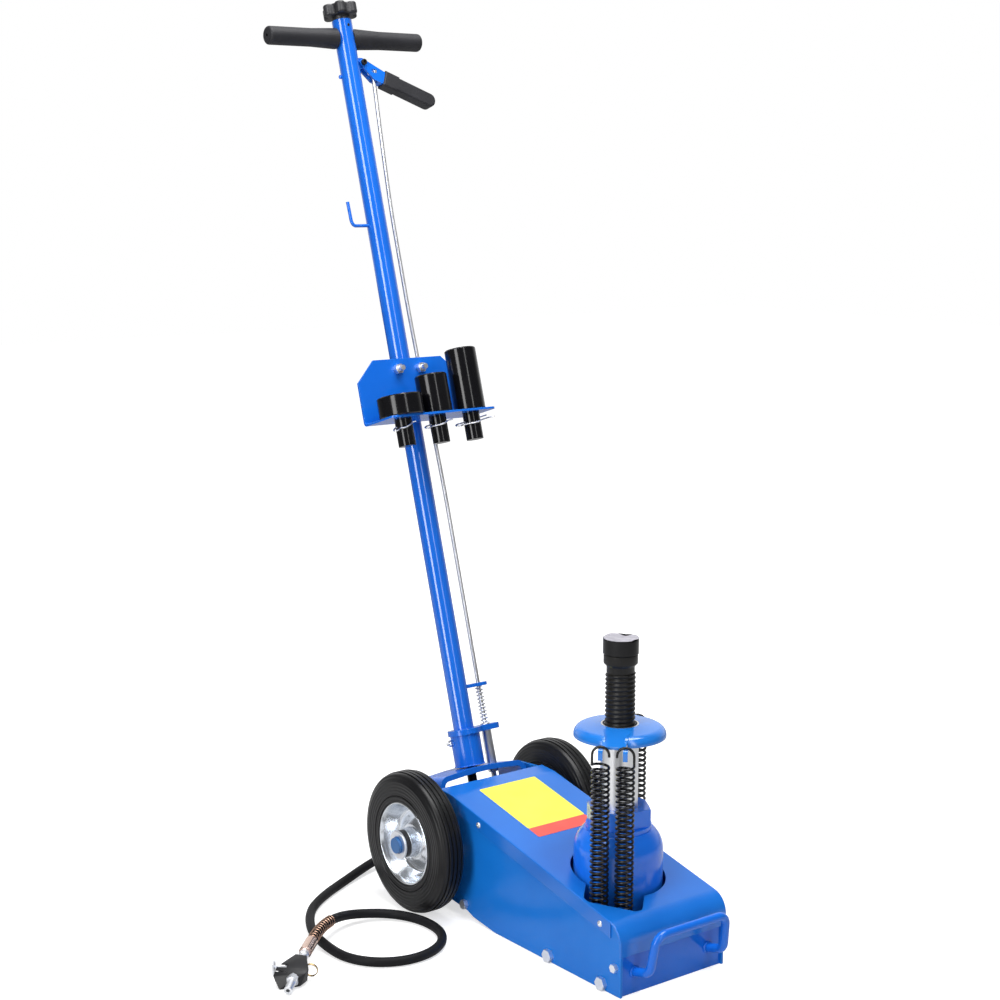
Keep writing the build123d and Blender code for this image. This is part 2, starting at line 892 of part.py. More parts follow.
# Bottle cylinder: round shoulder and a blind bore for the ram
with BuildPart() as bottle:
    with BuildSketch(Plane.XZ):
        with BuildLine():
            side_line = Line((bottle_r, base_height), (bottle_r, bottle_straight_z))
            neck_z = bottle_top_z - neck_collar_height
            shoulder = RadiusArc(side_line @ 1, (bottle_neck_r, neck_z), -bottle_round_r)
            Polyline(
                shoulder @ 1,
                (neck_collar_r, neck_z),
                (neck_collar_r, bottle_top_z),
                (ram_r + piston_gap, bottle_top_z),
                (ram_r + piston_gap, bottle_floor_z),
                (0, bottle_floor_z),
                (0, base_height),
                side_line @ 0,
            )
        make_face()
    revolve(axis=Axis.Z)
finish(bottle, "bottle")

# Gland nut: chamfered hexagon that guides the ram
with BuildPart() as gland_nut:
    with BuildSketch(Plane.XY.offset(bottle_top_z)):
        RegularPolygon(nut_across_flats / 2, 6, major_radius=False)
        Circle(ram_r + running_gap, mode=Mode.SUBTRACT)
    extrude(amount=nut_height)
    corner_r = nut_across_flats / 2 / cos(pi / 6)
    with BuildSketch(Plane.XZ):
        with BuildLine():
            top = bottle_top_z + nut_height
            Polyline(
                (corner_r - nut_chamfer, top),
                (corner_r + nut_chamfer, top),
                (corner_r + nut_chamfer, top - nut_chamfer),
                close=True,
            )
        make_face()
    revolve(axis=Axis.Z, mode=Mode.SUBTRACT)
finish(gland_nut, "gland_nut")

# Ram: chromed tube with a bore for the extension screw
with BuildPart() as ram:
    with BuildSketch(Plane.XY.offset(ram_bottom_z)):
        Circle(ram_r)
    extrude(amount=plate_top_z - ram_bottom_z)
    with BuildSketch(Plane.XY.offset(ram_bore_z)):
        Circle(screw_r + running_gap)
    extrude(amount=plate_top_z - ram_bore_z, mode=Mode.SUBTRACT)
finish(ram, "ram")

# Spring plate: a domed disc whose walled channels slope to a tab at each end, two fingers on each tab
with BuildPart() as plate_fill:
    with BuildSketch(Plane.XZ):
        with BuildLine():
            FilletPolyline(
                (0, disc_low[1]),
                disc_low,
                disc_edge,
                (ram_hole_r, plate_top_z),
                (0, plate_top_z),
                radius=[0, 0, spring_plate_round, 0, 0],
                close=True,
            )
        make_face()
    revolve(axis=Axis.Z)
    add(over_channel(-spring_plate_wall, spring_plate_wall), mode=Mode.INTERSECT)
    add(over_channel(0, 0), mode=Mode.SUBTRACT)
with BuildPart() as spring_plate:
    with BuildSketch(Plane.XZ):
        bent_sheet([disc_low, disc_edge, (ram_hole_r, plate_top_z)], spring_plate_wall, [spring_plate_round])
    revolve(axis=Axis.Z)
    add(over_channel(-2 * spring_plate_depth, spring_plate_wall), mode=Mode.SUBTRACT)
    add(plate_fill.part)
    for end in (-1, 1):
        with BuildSketch(tab_plane):
            with BuildLine():
                tab_start = spring_plate_r - spring_plate_round
                start_top = tab_top + tab_fall * (tab_reach - tab_start)
                Polyline(
                    (end * tab_start, start_top),
                    (end * tab_reach, tab_top),
                    (end * tab_reach, tab_top - spring_plate_wall),
                    (end * tab_start, start_top - spring_plate_wall),
                    close=True,
                )
            make_face()
        extrude(amount=channel_half + spring_plate_wall, both=True)
        for side in (-1, 1):
            finger_plane = tab_plane.offset(side * spring_half_gap)
            with BuildSketch(finger_plane):
                bent_sheet(
                    [
                        (end * (tab_reach - finger_over), finger_top),
                        (end * finger_reach, finger_top),
                        (end * finger_reach, finger_top - spring_plate_wall - finger_drop),
                    ],
                    -end * spring_plate_wall,
                    [finger_bend_r],
                )
            extrude(amount=finger_width / 2, both=True)
    with BuildSketch(Plane.XY.offset(plate_top_z - 2 * spring_plate_depth)):
        Circle(ram_hole_r)
    extrude(amount=4 * spring_plate_depth, mode=Mode.SUBTRACT)
finish(spring_plate, "spring_plate")

# Spring anchors: a standing plate with two fingers at each end of the diagonal
with BuildPart() as spring_anchors:
    for end in (-1, 1):
        with BuildSketch(diagonal.offset(base_height)):
            with Locations((0, end * (anchor_reach - anchor_wall / 2))):
                Rectangle(2 * (tab_half_width + anchor_margin), anchor_wall)
        extrude(amount=anchor_finger_z - base_height)
        with BuildSketch(diagonal.offset(anchor_finger_z - anchor_wall)):
            finger_length = finger_reach + anchor_finger_over - anchor_reach
            with Locations((0, end * (anchor_reach + finger_length / 2))):
                with GridLocations(2 * spring_half_gap, 0, 2, 1):
                    Rectangle(finger_width, finger_length)
        extrude(amount=anchor_wall)
finish(spring_anchors, "spring_anchors")

# Return springs: open coils with a hook at each end, one on each finger
hook_in = hook_r - spring_wire / 2
hook_lift = hook_r - sqrt(hook_in**2 - (finger_width / 2) ** 2) + body_gap
for end_name, end in (("front", -1), ("rear", 1)):
    for side_name, side in (("left", -1), ("right", 1)):
        centre = diagonal.from_local_coords((side * spring_half_gap, end * spring_reach, 0))
        across = diagonal.x_dir * side
        up = Vector(0, 0, 1)
        start = centre + up * spring_low_z
        spring_frame = Plane(origin=start, x_dir=across, z_dir=up)
        coil_length = spring_high_z - spring_low_z
        coil = coil_stations(spring_frame, spring_coil_r, coil_length, spring_turns)
        hook_top = finger_top + hook_lift
        hook_low = anchor_finger_z - anchor_wall - hook_lift
        upper = [
            (centre + across * hook_r + up * (hook_top - hook_r), up),
            (centre + up * hook_top, across * -1),
            (centre - across * hook_r + up * (hook_top - hook_r), up * -1),
        ]
        lower = [
            (centre - across * hook_r + up * (hook_low + hook_r), up * -1),
            (centre + up * hook_low, across),
            (centre + across * hook_r + up * (hook_low + hook_r), up),
        ]
        with BuildPart() as spring:
            spring_line = bend_wire(lower + coil + upper, spring_wire)
        least_gap(spring_line, spring_wire, f"spring_{end_name}_{side_name}")
        finish(spring, f"spring_{end_name}_{side_name}")

# Extension screw with its collar and the spigot for the saddle
with BuildPart() as extension_screw:
    with BuildSketch(Plane.XZ):
        with BuildLine():
            Polyline(
                (0, screw_bottom_z),
                (screw_r - screw_end_chamfer, screw_bottom_z),
                (screw_r, screw_bottom_z + screw_end_chamfer),
                (screw_r, neck_bottom_z),
                (neck_r, neck_bottom_z + neck_step),
                (neck_r, collar_bottom_z - collar_cone),
                (collar_r, collar_bottom_z),
                (collar_r, collar_top_z),
                (saddle_spigot_r, collar_top_z),
                (saddle_spigot_r, collar_top_z + saddle_spigot_length),
                (0, collar_top_z + saddle_spigot_length),
                close=True,
            )
        make_face()
    revolve(axis=Axis.Z)
finish(extension_screw, "extension_screw")

# Saddle: a cap with two crossed troughs and a set screw hole, turning on the screw's spigot
with BuildPart() as saddle:
    with BuildSketch(Plane.XY.offset(collar_top_z + body_gap)):
        Circle(saddle_r)
    extrude(amount=saddle_top_z - collar_top_z - body_gap)
    trough_r = (saddle_trough_half**2 + saddle_trough**2) / (2 * saddle_trough)
    for turn, depth in ((saddle_turn, saddle_trough), (saddle_turn + 90, saddle_cross)):
        with BuildSketch(Plane.XZ.rotated((0, 0, turn))):
            with Locations((0, saddle_top_z - depth + trough_r)):
                Circle(trough_r)
        extrude(amount=2 * saddle_r, both=True, mode=Mode.SUBTRACT)
    with BuildSketch(Plane.XY.offset(collar_top_z)):
        Circle(saddle_spigot_r + running_gap)
    extrude(amount=saddle_spigot_length + body_gap, mode=Mode.SUBTRACT)
    screw_way = (cos(radians(set_screw_turn)), sin(radians(set_screw_turn)), 0)
    with BuildSketch(Plane(origin=(0, 0, set_screw_z), z_dir=screw_way).offset(saddle_r)):
        Circle(set_screw_r)
    extrude(amount=-set_screw_depth, mode=Mode.SUBTRACT)
finish(saddle, "saddle")

# Yoke: a flat bar bent to an arch, its legs rounded off and bossed at the pivot
with BuildPart() as handle_yoke:
    leg_foot = -pivot_drop - yoke_boss_r
    with BuildSketch(face_plane):
        bent_sheet(
            [
                (-yoke_half, leg_foot),
                (-yoke_half, -yoke_fall),
                (0, 0),
                (yoke_half, -yoke_fall),
                (yoke_half, leg_foot),
            ],
            -yoke_wall,
            [yoke_bend_r, yoke_arch_r, yoke_bend_r],
        )
    extrude(amount=yoke_half_width, both=True)
    with BuildSketch(side_plane.offset(-yoke_half)):
        with Locations((0, -pivot_drop)):
            Circle(yoke_boss_r)
        with Locations((0, -yoke_half_width / 2)):
            Rectangle(2 * yoke_half_width, yoke_half_width)
        make_hull()
    extrude(amount=2 * yoke_half, mode=Mode.INTERSECT)
    boss_end = plate_in - body_gap
    for side in (-1, 1):
        with BuildSketch(side_plane.offset(-side * (yoke_half - yoke_wall))):
            with Locations((0, -pivot_drop)):
                Circle(yoke_boss_r)
        extrude(amount=-side * (boss_end - yoke_half + yoke_wall))
    with BuildSketch(side_plane.offset(-frame_width / 2)):
        with Locations((0, -pivot_drop)):
            Circle(yoke_bolt_r + running_gap)
    extrude(amount=frame_width, mode=Mode.SUBTRACT)
    with BuildSketch(tube_plane.offset(-3 * yoke_wall)):
        Circle(release_r + yoke_rod_play)
        with Locations((lock_x, 0)):
            Circle(lock_pin_r + rod_play)
    extrude(amount=4 * yoke_wall, mode=Mode.SUBTRACT)
finish(handle_yoke, "handle_yoke")

# Pivot bolts of the yoke, each with its nut
with BuildPart() as yoke_bolts:
    nut_in = yoke_half - yoke_wall - body_gap
    for side in (-1, 1):
        head_plane = Plane.YZ.offset(side * frame_width / 2)
        with BuildSketch(head_plane):
            with Locations((pivot.Y, pivot.Z)):
                RegularPolygon(yoke_bolt_head / 2, 6, major_radius=False)
        extrude(amount=side * bolt_head_height)
        with BuildSketch(head_plane):
            with Locations((pivot.Y, pivot.Z)):
                Circle(yoke_bolt_r)
        extrude(amount=-side * (frame_width / 2 - nut_in + yoke_nut_height + yoke_bolt_end))
        with BuildSketch(Plane.YZ.offset(side * nut_in)):
            with Locations((pivot.Y, pivot.Z)):
                RegularPolygon(yoke_bolt_head / 2, 6, major_radius=False)
        extrude(amount=-side * yoke_nut_height)
finish(yoke_bolts, "yoke_bolts")

# Sleeve welded on the yoke
with BuildPart() as handle_sleeve:
    with BuildSketch(tube_plane):
        Circle(sleeve_r)
        Circle(tube_r + seat_gap, mode=Mode.SUBTRACT)
    extrude(amount=sleeve_length)
finish(handle_sleeve, "handle_sleeve")

# Handle tube with an end plug that guides the release rod
with BuildPart() as handle_tube:
    with BuildSketch(tube_plane.offset(yoke_wall / 4)):
        Circle(tube_r)
        Circle(tube_r - tube_wall, mode=Mode.SUBTRACT)
    extrude(amount=tube_length - yoke_wall / 4)
    with BuildSketch(tube_plane.offset(tube_length)):
        Circle(tube_r - plug_sink)
        Circle(release_r + running_gap, mode=Mode.SUBTRACT)
    extrude(amount=-plug_height)
finish(handle_tube, "handle_tube")

# Lock plate: an eye round the tube with an arm that guides the lock pin
with BuildPart() as lock_plate:
    with BuildSketch(tube_plane.offset(sleeve_length)):
        Circle(lock_plate_r)
        arm = lock_plate_reach - lock_plate_half
        with Locations((arm / 2, 0)):
            Rectangle(arm, 2 * lock_plate_half)
        with Locations((arm, 0)):
            Circle(lock_plate_half)
        Circle(tube_r + seat_gap, mode=Mode.SUBTRACT)
        with Locations((lock_x, 0)):
            Circle(lock_pin_r + running_gap, mode=Mode.SUBTRACT)
    extrude(amount=lock_plate_wall)
finish(lock_plate, "lock_plate")

# Rod bracket: a plate on the tube that the lock spring pushes against
with BuildPart() as rod_bracket:
    with BuildSketch(tube_plane.offset(bracket_s)):
        arm = bracket_reach - bracket_half
        with Locations((arm / 2, 0)):
            Rectangle(arm, 2 * bracket_half)
        with Locations((arm, 0)):
            Circle(bracket_half)
        Circle(tube_r + seat_gap, mode=Mode.SUBTRACT)
        with Locations((-tube_r / 2, 0)):
            Rectangle(tube_r, 4 * tube_r, mode=Mode.SUBTRACT)
        with Locations((lock_x, 0)):
            Circle(lock_rod_r + running_gap, mode=Mode.SUBTRACT)
    extrude(amount=bracket_wall)
finish(rod_bracket, "rod_bracket")

# Lock rod: a bent rod with the lock pin at its foot and a cross pin at its top
with BuildPart() as lock_rod:
    with BuildLine() as rod_line:
        FilletPolyline(
            on_handle(lock_x, lock_pin_top - lock_rod_r / 3, 0),
            on_handle(lock_x, rod_low_s, 0),
            on_handle(lock_x - rod_inset, rod_mid_s, 0),
            on_handle(lock_x - rod_inset, lever_eye[1] - rod_high_drop, 0),
            on_handle(lever_eye[0], lever_eye[1], 0),
            radius=rod_bend_r,
        )
    with BuildSketch(Plane(origin=rod_line.line @ 0, z_dir=rod_line.line % 0)):
        Circle(lock_rod_r)
    sweep()
    with BuildSketch(tube_plane.offset(lock_pin_top)):
        with Locations((lock_x, 0)):
            Circle(lock_pin_r)
    extrude(amount=lock_pin_tip + lock_nose_length - lock_pin_top)
    with BuildSketch(tube_plane.offset(lock_pin_tip)):
        with Locations((lock_x, 0)):
            Circle(lock_nose_r)
    extrude(amount=lock_nose_length)
    eye_half = lever_lug_wall / 2 + body_gap + lever_cheek_wall
    with BuildSketch(face_plane.offset(-eye_half)):
        with Locations(lever_eye):
            Circle(eye_pin_r)
    extrude(amount=2 * eye_half)
finish(lock_rod, "lock_rod")

# Lock spring round the rod, between the pin and the bracket
with BuildPart() as lock_spring:
    spring_foot = lock_pin_top + body_gap + lock_wire
    lock_coil_length = bracket_s - body_gap - lock_wire - spring_foot
    lock_frame = Plane(origin=on_handle(lock_x, spring_foot, 0), x_dir=(1, 0, 0), z_dir=handle_axis)
    lock_line = bend_wire(
        coil_stations(lock_frame, lock_coil_r, lock_coil_length, lock_turns), lock_wire
    )
least_gap(lock_line, lock_wire, "lock_spring")
finish(lock_spring, "lock_spring")

# Lock quadrant: a standing plate whose rim is round the handle's pivot, with notches
with BuildPart() as lock_quadrant:
    rim_r = pivot_drop + lock_pin_tip - body_gap
    with BuildSketch(Plane.YZ.offset(lock_x - quadrant_wall / 2)):
        with Locations((pivot.Y, pivot.Z)):
            Circle(rim_r)
        post_width = quadrant_rear_y - quadrant_front_y
        with Locations((quadrant_front_y, rear_floor_top)):
            Rectangle(post_width, pivot.Z - rear_floor_top, align=(Align.MIN, Align.MIN))
        with Locations((axle_y, axle_z)):
            Circle(axle_shoulder_r + body_gap, mode=Mode.SUBTRACT)
        for angle in notch_angles:
            with Locations(Location((pivot.Y, pivot.Z), -angle)):
                with Locations((0, rim_r)):
                    Rectangle(2 * notch_half, 2 * notch_depth, mode=Mode.SUBTRACT)
    extrude(amount=quadrant_wall)
finish(lock_quadrant, "lock_quadrant")

# Lever lug on the tube, with the lever's pivot stud
with BuildPart() as lever_lug:
    with BuildSketch(face_plane.offset(-lever_lug_wall / 2)):
        with Locations(lever_pivot):
            Circle(lever_lug_half)
        with Locations((lever_pivot[0] / 2, lever_pivot[1])):
            Rectangle(lever_pivot[0], 2 * lever_lug_half)
    extrude(amount=lever_lug_wall)
    stud_half = lever_lug_wall / 2 + body_gap + lever_cheek_wall + stud_over
    with BuildSketch(face_plane.offset(-stud_half)):
        with Locations(lever_pivot):
            Circle(lever_pin_r)
    extrude(amount=2 * stud_half)
    with BuildSketch(tube_plane.offset(lever_pivot[1] - 2 * lever_lug_half)):
        Circle(tube_r + seat_gap)
        with Locations((-tube_r, 0)):
            Rectangle(2 * tube_r, 4 * tube_r)
    extrude(amount=4 * lever_lug_half, mode=Mode.SUBTRACT)
finish(lever_lug, "lever_lug")

# Squeeze lever: two cheeks on the stud and a tongue that carries the grip
lever_dir = (Vector(*lever_end) - Vector(*lever_start)).normalized()
lever_angle = degrees(atan2(lever_dir.Y, lever_dir.X))
eye_tilt = degrees(atan2(eye_rise, eye_slot))
with BuildPart() as hand_lever:
    cheek_in = lever_lug_wall / 2 + body_gap
    with BuildSketch(face_plane.offset(-cheek_in - lever_cheek_wall)):
        with Locations(lever_pivot):
            Circle(lever_pivot[0] - tube_r - body_gap)
        with Locations(Location(lever_start, lever_angle)):
            Rectangle(lever_block, lever_depth)
        make_hull()
        with Locations(lever_pivot):
            Circle(lever_pin_r + running_gap, mode=Mode.SUBTRACT)
        with Locations(Location((lever_eye[0] - eye_slot / 2, lever_eye[1] + eye_rise / 2), -eye_tilt)):
            SlotCenterToCenter(eye_slot, 2 * (eye_pin_r + eye_play), mode=Mode.SUBTRACT)
    extrude(amount=lever_cheek_wall)
    mirror(about=face_plane)
    with BuildSketch(face_plane.offset(-cheek_in - lever_cheek_wall)):
        with Locations(Location(lever_start, lever_angle)):
            Rectangle(lever_block / 2, lever_depth, align=(Align.MIN, Align.CENTER))
            with Locations((lever_block / 2, 0)):
                Rectangle(tongue_length, tongue_depth, align=(Align.MIN, Align.CENTER))
    extrude(amount=2 * (cheek_in + lever_cheek_wall))
finish(hand_lever, "hand_lever")

# Rubber grip pushed on the lever's tongue: a deep collar, then a slimmer handle with a round end
with BuildPart() as lever_grip:
    grip_start = lever_block / 2 + seat_gap
    grip_length = (Vector(*lever_end) - Vector(*lever_start)).length - grip_start
    with BuildSketch(face_plane.offset(-lever_grip_half)):
        with Locations(Location(lever_start, lever_angle)):
            with Locations((grip_start, 0)):
                Rectangle(grip_length, lever_grip_depth, align=(Align.MIN, Align.CENTER))
                Rectangle(grip_collar_length, grip_collar_depth, align=(Align.MIN, Align.CENTER))
    extrude(amount=2 * lever_grip_half)
    tip = face_plane.from_local_coords((lever_end[0], lever_end[1], 0))
    upright_edges = lever_grip.edges().filter_by(Axis(foot, handle_front))
    fillet(upright_edges.sort_by_distance(tip)[:2], lever_grip_depth / 2 - body_gap)
    long_faces = lever_grip.faces().filter_by(Axis(foot, handle_front))
    fillet([edge for face in long_faces for edge in face.outer_wire().edges()], lever_grip_edge)
    tongue_half = cheek_in + lever_cheek_wall + seat_gap
    with BuildSketch(face_plane.offset(-tongue_half)):
        with Locations(Location(lever_start, lever_angle)):
            Rectangle(
                lever_block / 2 + tongue_length + seat_gap,
                tongue_depth + 2 * seat_gap,
                align=(Align.MIN, Align.CENTER),
            )
    extrude(amount=2 * tongue_half, mode=Mode.SUBTRACT)
finish(lever_grip, "lever_grip")

# Cross bar: two stubs welded to the tube, so that the release rod passes between them
with BuildPart() as cross_bar:
    stub_in = tube_r - tube_wall / 2
    for side in (-1, 1):
        stub_plane = Plane(origin=on_handle(0, cross_s, 0), x_dir=handle_front, z_dir=(side, 0, 0))
        with BuildSketch(stub_plane.offset(stub_in)):
            Circle(cross_r)
            Circle(cross_r - tube_wall, mode=Mode.SUBTRACT)
        extrude(amount=cross_half - grip_end_wall - seat_gap - stub_in)
    with BuildSketch(tube_plane.offset(cross_s - 2 * cross_r)):
        Circle(tube_r + seat_gap)
    extrude(amount=4 * cross_r, mode=Mode.SUBTRACT)
finish(cross_bar, "cross_bar")

# Rubber grips on the stubs, flared towards the tube
for name, side in (("left", -1), ("right", 1)):
    with BuildPart() as grip:
        grip_plane = Plane(origin=on_handle(0, cross_s, 0), x_dir=(side, 0, 0), z_dir=handle_front)
        grip_in = tube_r + grip_gap
        bore = cross_r + seat_gap
        with BuildSketch(grip_plane):
            with BuildLine():
                FilletPolyline(
                    (grip_in, bore),
                    (grip_in, grip_flare_r),
                    (grip_flare_x, grip_r),
                    (cross_half, grip_r),
                    (cross_half, grip_end_hole_r),
                    (cross_half - grip_end_wall, grip_end_hole_r),
                    (cross_half - grip_end_wall, bore),
                    radius=[0, grip_end_round / 2, grip_flare_bend, grip_end_round, 0, 0, 0],
                    close=True,
                )
            make_face()
        revolve(axis=Axis(on_handle(0, cross_s, 0), (1, 0, 0)))
    finish(grip, f"{name}_grip")

# Hose hook: a bent rod welded to the left of the tube
with BuildPart() as hose_hook:
    with BuildLine() as hook_line:
        FilletPolyline(
            on_handle(hose_hook_sink - tube_r, hose_hook_s, 0),
            on_handle(-hose_hook_reach, hose_hook_s, 0),
            on_handle(-hose_hook_reach - hose_hook_splay, hose_hook_tip, 0),
            radius=hose_hook_bend_r,
        )
    with BuildSketch(Plane(origin=hook_line.line @ 0, z_dir=hook_line.line % 0)):
        Circle(hose_hook_r)
    sweep()
    with BuildSketch(tube_plane.offset(hose_hook_s - tube_r)):
        Circle(tube_r + seat_gap)
    extrude(amount=2 * tube_r, mode=Mode.SUBTRACT)
finish(hose_hook, "hose_hook")

# Tool tray: a folded sheet with clipped corners and three holes
with BuildPart() as tool_tray:
    tray_profile = Plane(origin=foot - Vector(tray_half, 0, 0), x_dir=handle_front, z_dir=(-1, 0, 0))
    with BuildSketch(tray_profile):
        bent_sheet(
            [
                (tray_reach_f, tray_s - tray_wall),
                (tray_back_f, tray_s - tray_wall),
                (tray_back_f, tray_s + tray_height),
            ],
            -tray_wall,
            [tray_bend_r],
        )
    extrude(amount=-2 * tray_half)
    upright_edges = tool_tray.edges().filter_by(Axis(foot, handle_axis))
    fillet(upright_edges.sort_by(Axis(foot, handle_front))[-2:], tray_corner_r)
    with BuildSketch(face_plane):
        for side in (-1, 1):
            with BuildLine():
                Polyline(
                    (side * tray_half, tray_s + tray_height),
                    (side * (tray_half - tray_chamfer), tray_s + tray_height),
                    (side * tray_half, tray_s + tray_height - tray_chamfer),
                    close=True,
                )
            make_face()
        with Locations((0, ubolt_s)):
            with GridLocations(2 * ubolt_half, 0, 2, 1):
                Circle(ubolt_r + seat_gap)
    extrude(amount=tray_back_f + 2 * tray_wall, mode=Mode.SUBTRACT)
    with BuildSketch(tube_plane.offset(tray_s - 2 * tray_wall)):
        with Locations((0, -adapter_f)):
            with GridLocations(adapter_spacing, 0, 3, 1):
                Circle(adapter_spigot_r + seat_gap)
    extrude(amount=4 * tray_wall, mode=Mode.SUBTRACT)
finish(tool_tray, "tool_tray")

# U-bolt round the tube that holds the tray
with BuildPart() as tray_u_bolt:
    bend_f = ubolt_half - ubolt_r - tube_r - seat_gap
    with BuildLine() as ubolt_line:
        left_end = on_handle(-ubolt_half, ubolt_s, ubolt_end_f)
        left_leg = Line(left_end, on_handle(-ubolt_half, ubolt_s, bend_f))
        back = TangentArc(left_leg @ 1, on_handle(ubolt_half, ubolt_s, bend_f), tangent=left_leg % 1)
        Line(back @ 1, on_handle(ubolt_half, ubolt_s, ubolt_end_f))
    with BuildSketch(Plane(origin=ubolt_line.line @ 0, z_dir=ubolt_line.line % 0)):
        Circle(ubolt_r)
    sweep()
finish(tray_u_bolt, "tray_u_bolt")

# Nuts of the U-bolt
with BuildPart() as tray_nuts:
    with BuildSketch(face_plane.offset(tray_back_f + tray_wall)):
        with Locations((0, ubolt_s)):
            with GridLocations(2 * ubolt_half, 0, 2, 1):
                RegularPolygon(ubolt_nut_across / 2, 6, major_radius=False)
                Circle(ubolt_r + seat_gap, mode=Mode.SUBTRACT)
    extrude(amount=ubolt_nut_height)
finish(tray_nuts, "tray_nuts")

# Extension adapters: round heads on the tray, spigots through its holes
for name, place, head_r, head_height in adapters:
    with BuildPart() as adapter:
        with BuildSketch(tube_plane.offset(tray_s)):
            with Locations((place * adapter_spacing, -adapter_f)):
                Circle(head_r)
        extrude(amount=head_height)
        chamfer(adapter.edges(), adapter_edge)
        with BuildSketch(tube_plane.offset(tray_s)):
            with Locations((place * adapter_spacing, -adapter_f)):
                Circle(adapter_spigot_r)
        extrude(amount=adapter_spigot_end - tray_s)
        with BuildSketch(tube_plane.offset(tray_s + head_height)):
            with Locations((place * adapter_spacing, -adapter_f)):
                Circle(adapter_spigot_r + adapter_bore_play)
        extrude(amount=-min(head_height - adapter_floor, adapter_bore_depth), mode=Mode.SUBTRACT)
    finish(adapter, name)

# Release rod through the tube, ending in the upper fork and cross of the universal joint
joint_s = -pivot_drop
with BuildPart() as release_rod:
    hub_s = joint_s + joint_hub_clear
    with BuildSketch(tube_plane.offset(hub_s)):
        Circle(release_r)
    extrude(amount=knob_s + knob_height - knob_cap - hub_s)
    with BuildSketch(tube_plane.offset(hub_s)):
        Circle(joint_prong[1])
    extrude(amount=joint_hub_wall)
    with BuildSketch(tube_plane.offset(hub_s + joint_hub_wall)):
        Circle(joint_hub_r)
    extrude(amount=-yoke_wall - joint_hub_wall - hub_s - joint_hub_low)
    prong_mid = (joint_prong[0] + joint_prong[1]) / 2
    prong_wall = joint_prong[1] - joint_prong[0]
    with BuildSketch(tube_plane.offset(hub_s)):
        with GridLocations(0, 2 * prong_mid, 1, 2):
            Rectangle(2 * joint_prong_half, prong_wall)
    extrude(amount=-joint_hub_clear - joint_prong_tip)
    with BuildSketch(tube_plane.offset(joint_s - cross_half_size)):
        Rectangle(2 * cross_half_size, 2 * joint_prong[0])
    extrude(amount=2 * cross_half_size)
    with BuildSketch(side_plane.offset(-joint_prong[1])):
        with Locations((0, joint_s)):
            Circle(trunnion_r)
    extrude(amount=2 * joint_prong[1])
finish(release_rod, "release_rod")

# Star knob with rounded lobes, its hub towards the tube
with BuildPart() as release_knob:
    with BuildSketch(tube_plane.offset(knob_s)) as star:
        Circle(knob_core_r)
        with PolarLocations(knob_lobe_place, knob_lobes):
            Circle(knob_lobe_r)
        fillet(star.vertices(), knob_valley_r)
    extrude(amount=knob_height)
    knob_faces = release_knob.faces().filter_by(Axis(foot, handle_axis))
    fillet([edge for face in knob_faces for edge in face.outer_wire().edges()], knob_edge_r)
    with BuildSketch(tube_plane.offset(knob_s + knob_edge_r)):
        Circle(knob_hub_r)
    extrude(amount=body_gap - knob_gap - knob_edge_r)
    with BuildSketch(tube_plane.offset(tube_length)):
        Circle(release_r + seat_gap)
    extrude(amount=knob_gap + knob_height - knob_cap + seat_gap, mode=Mode.SUBTRACT)
finish(release_knob, "release_knob")

# Valve stem with the lower fork of the universal joint
with BuildPart() as valve_stem:
    fork_s = joint_s - joint_hub_clear
    with BuildSketch(tube_plane.offset(fork_s)):
        Circle(joint_prong[1])
    extrude(amount=-fork_hub_wall)
    with BuildSketch(tube_plane.offset(fork_s)):
        Circle(joint_hub_r)
    extrude(amount=-fork_hub_length)
    with BuildSketch(tube_plane.offset(fork_s)):
        with GridLocations(2 * prong_mid, 0, 2, 1):
            Rectangle(prong_wall, 2 * joint_prong_half)
    extrude(amount=joint_hub_clear + joint_prong_tip)
    with BuildSketch(side_plane.offset(-joint_prong[1])):
        with Locations((0, joint_s)):
            Circle(trunnion_r + running_gap)
    extrude(amount=2 * joint_prong[1], mode=Mode.SUBTRACT)
    with BuildSketch(tube_plane.offset(fork_s)):
        Circle(stem_r)
    extrude(amount=-stem_end)
finish(valve_stem, "valve_stem")

# Pump block with the release valve's bore
with BuildPart() as pump_block:
    pump_length = pump_rear_y - pump_front_y
    with Locations((0, pump_front_y + pump_length / 2, rear_floor_top)):
        Box(
            2 * pump_half,
            pump_length,
            pump_top_z - rear_floor_top,
            align=(Align.CENTER, Align.CENTER, Align.MIN),
        )
    chamfer(pump_block.edges().filter_by(Axis.Z), pump_chamfer)
    with BuildSketch(tube_plane.offset(joint_s - joint_hub_clear - stem_end - body_gap)):
        Circle(stem_r + running_gap)
    extrude(amount=2 * stem_end, mode=Mode.SUBTRACT)
finish(pump_block, "pump_block")

# Air motor: a round can on the front of the pump block
with BuildPart() as air_motor:
    with BuildSketch(Plane.XZ.offset(-pump_front_y)):
        with Locations((0, motor_z)):
            Circle(motor_r)
    extrude(amount=pump_front_y - motor_front_y)
    fillet(air_motor.edges().sort_by(Axis.Y)[0], motor_round)
finish(air_motor, "air_motor")

# Air inlet on the rear of the pump block
with BuildPart() as air_inlet:
    with BuildSketch(Plane.XZ.offset(-pump_rear_y)):
        with Locations((0, inlet_z)):
            RegularPolygon(inlet_r, 6, major_radius=False)
    extrude(amount=-(inlet_end_y - pump_rear_y) / 2)
    with BuildSketch(Plane.XZ.offset(-pump_rear_y)):
        with Locations((0, inlet_z)):
            Circle(hose_r + inlet_wall)
    extrude(amount=-(inlet_end_y - pump_rear_y))
finish(air_inlet, "air_inlet")

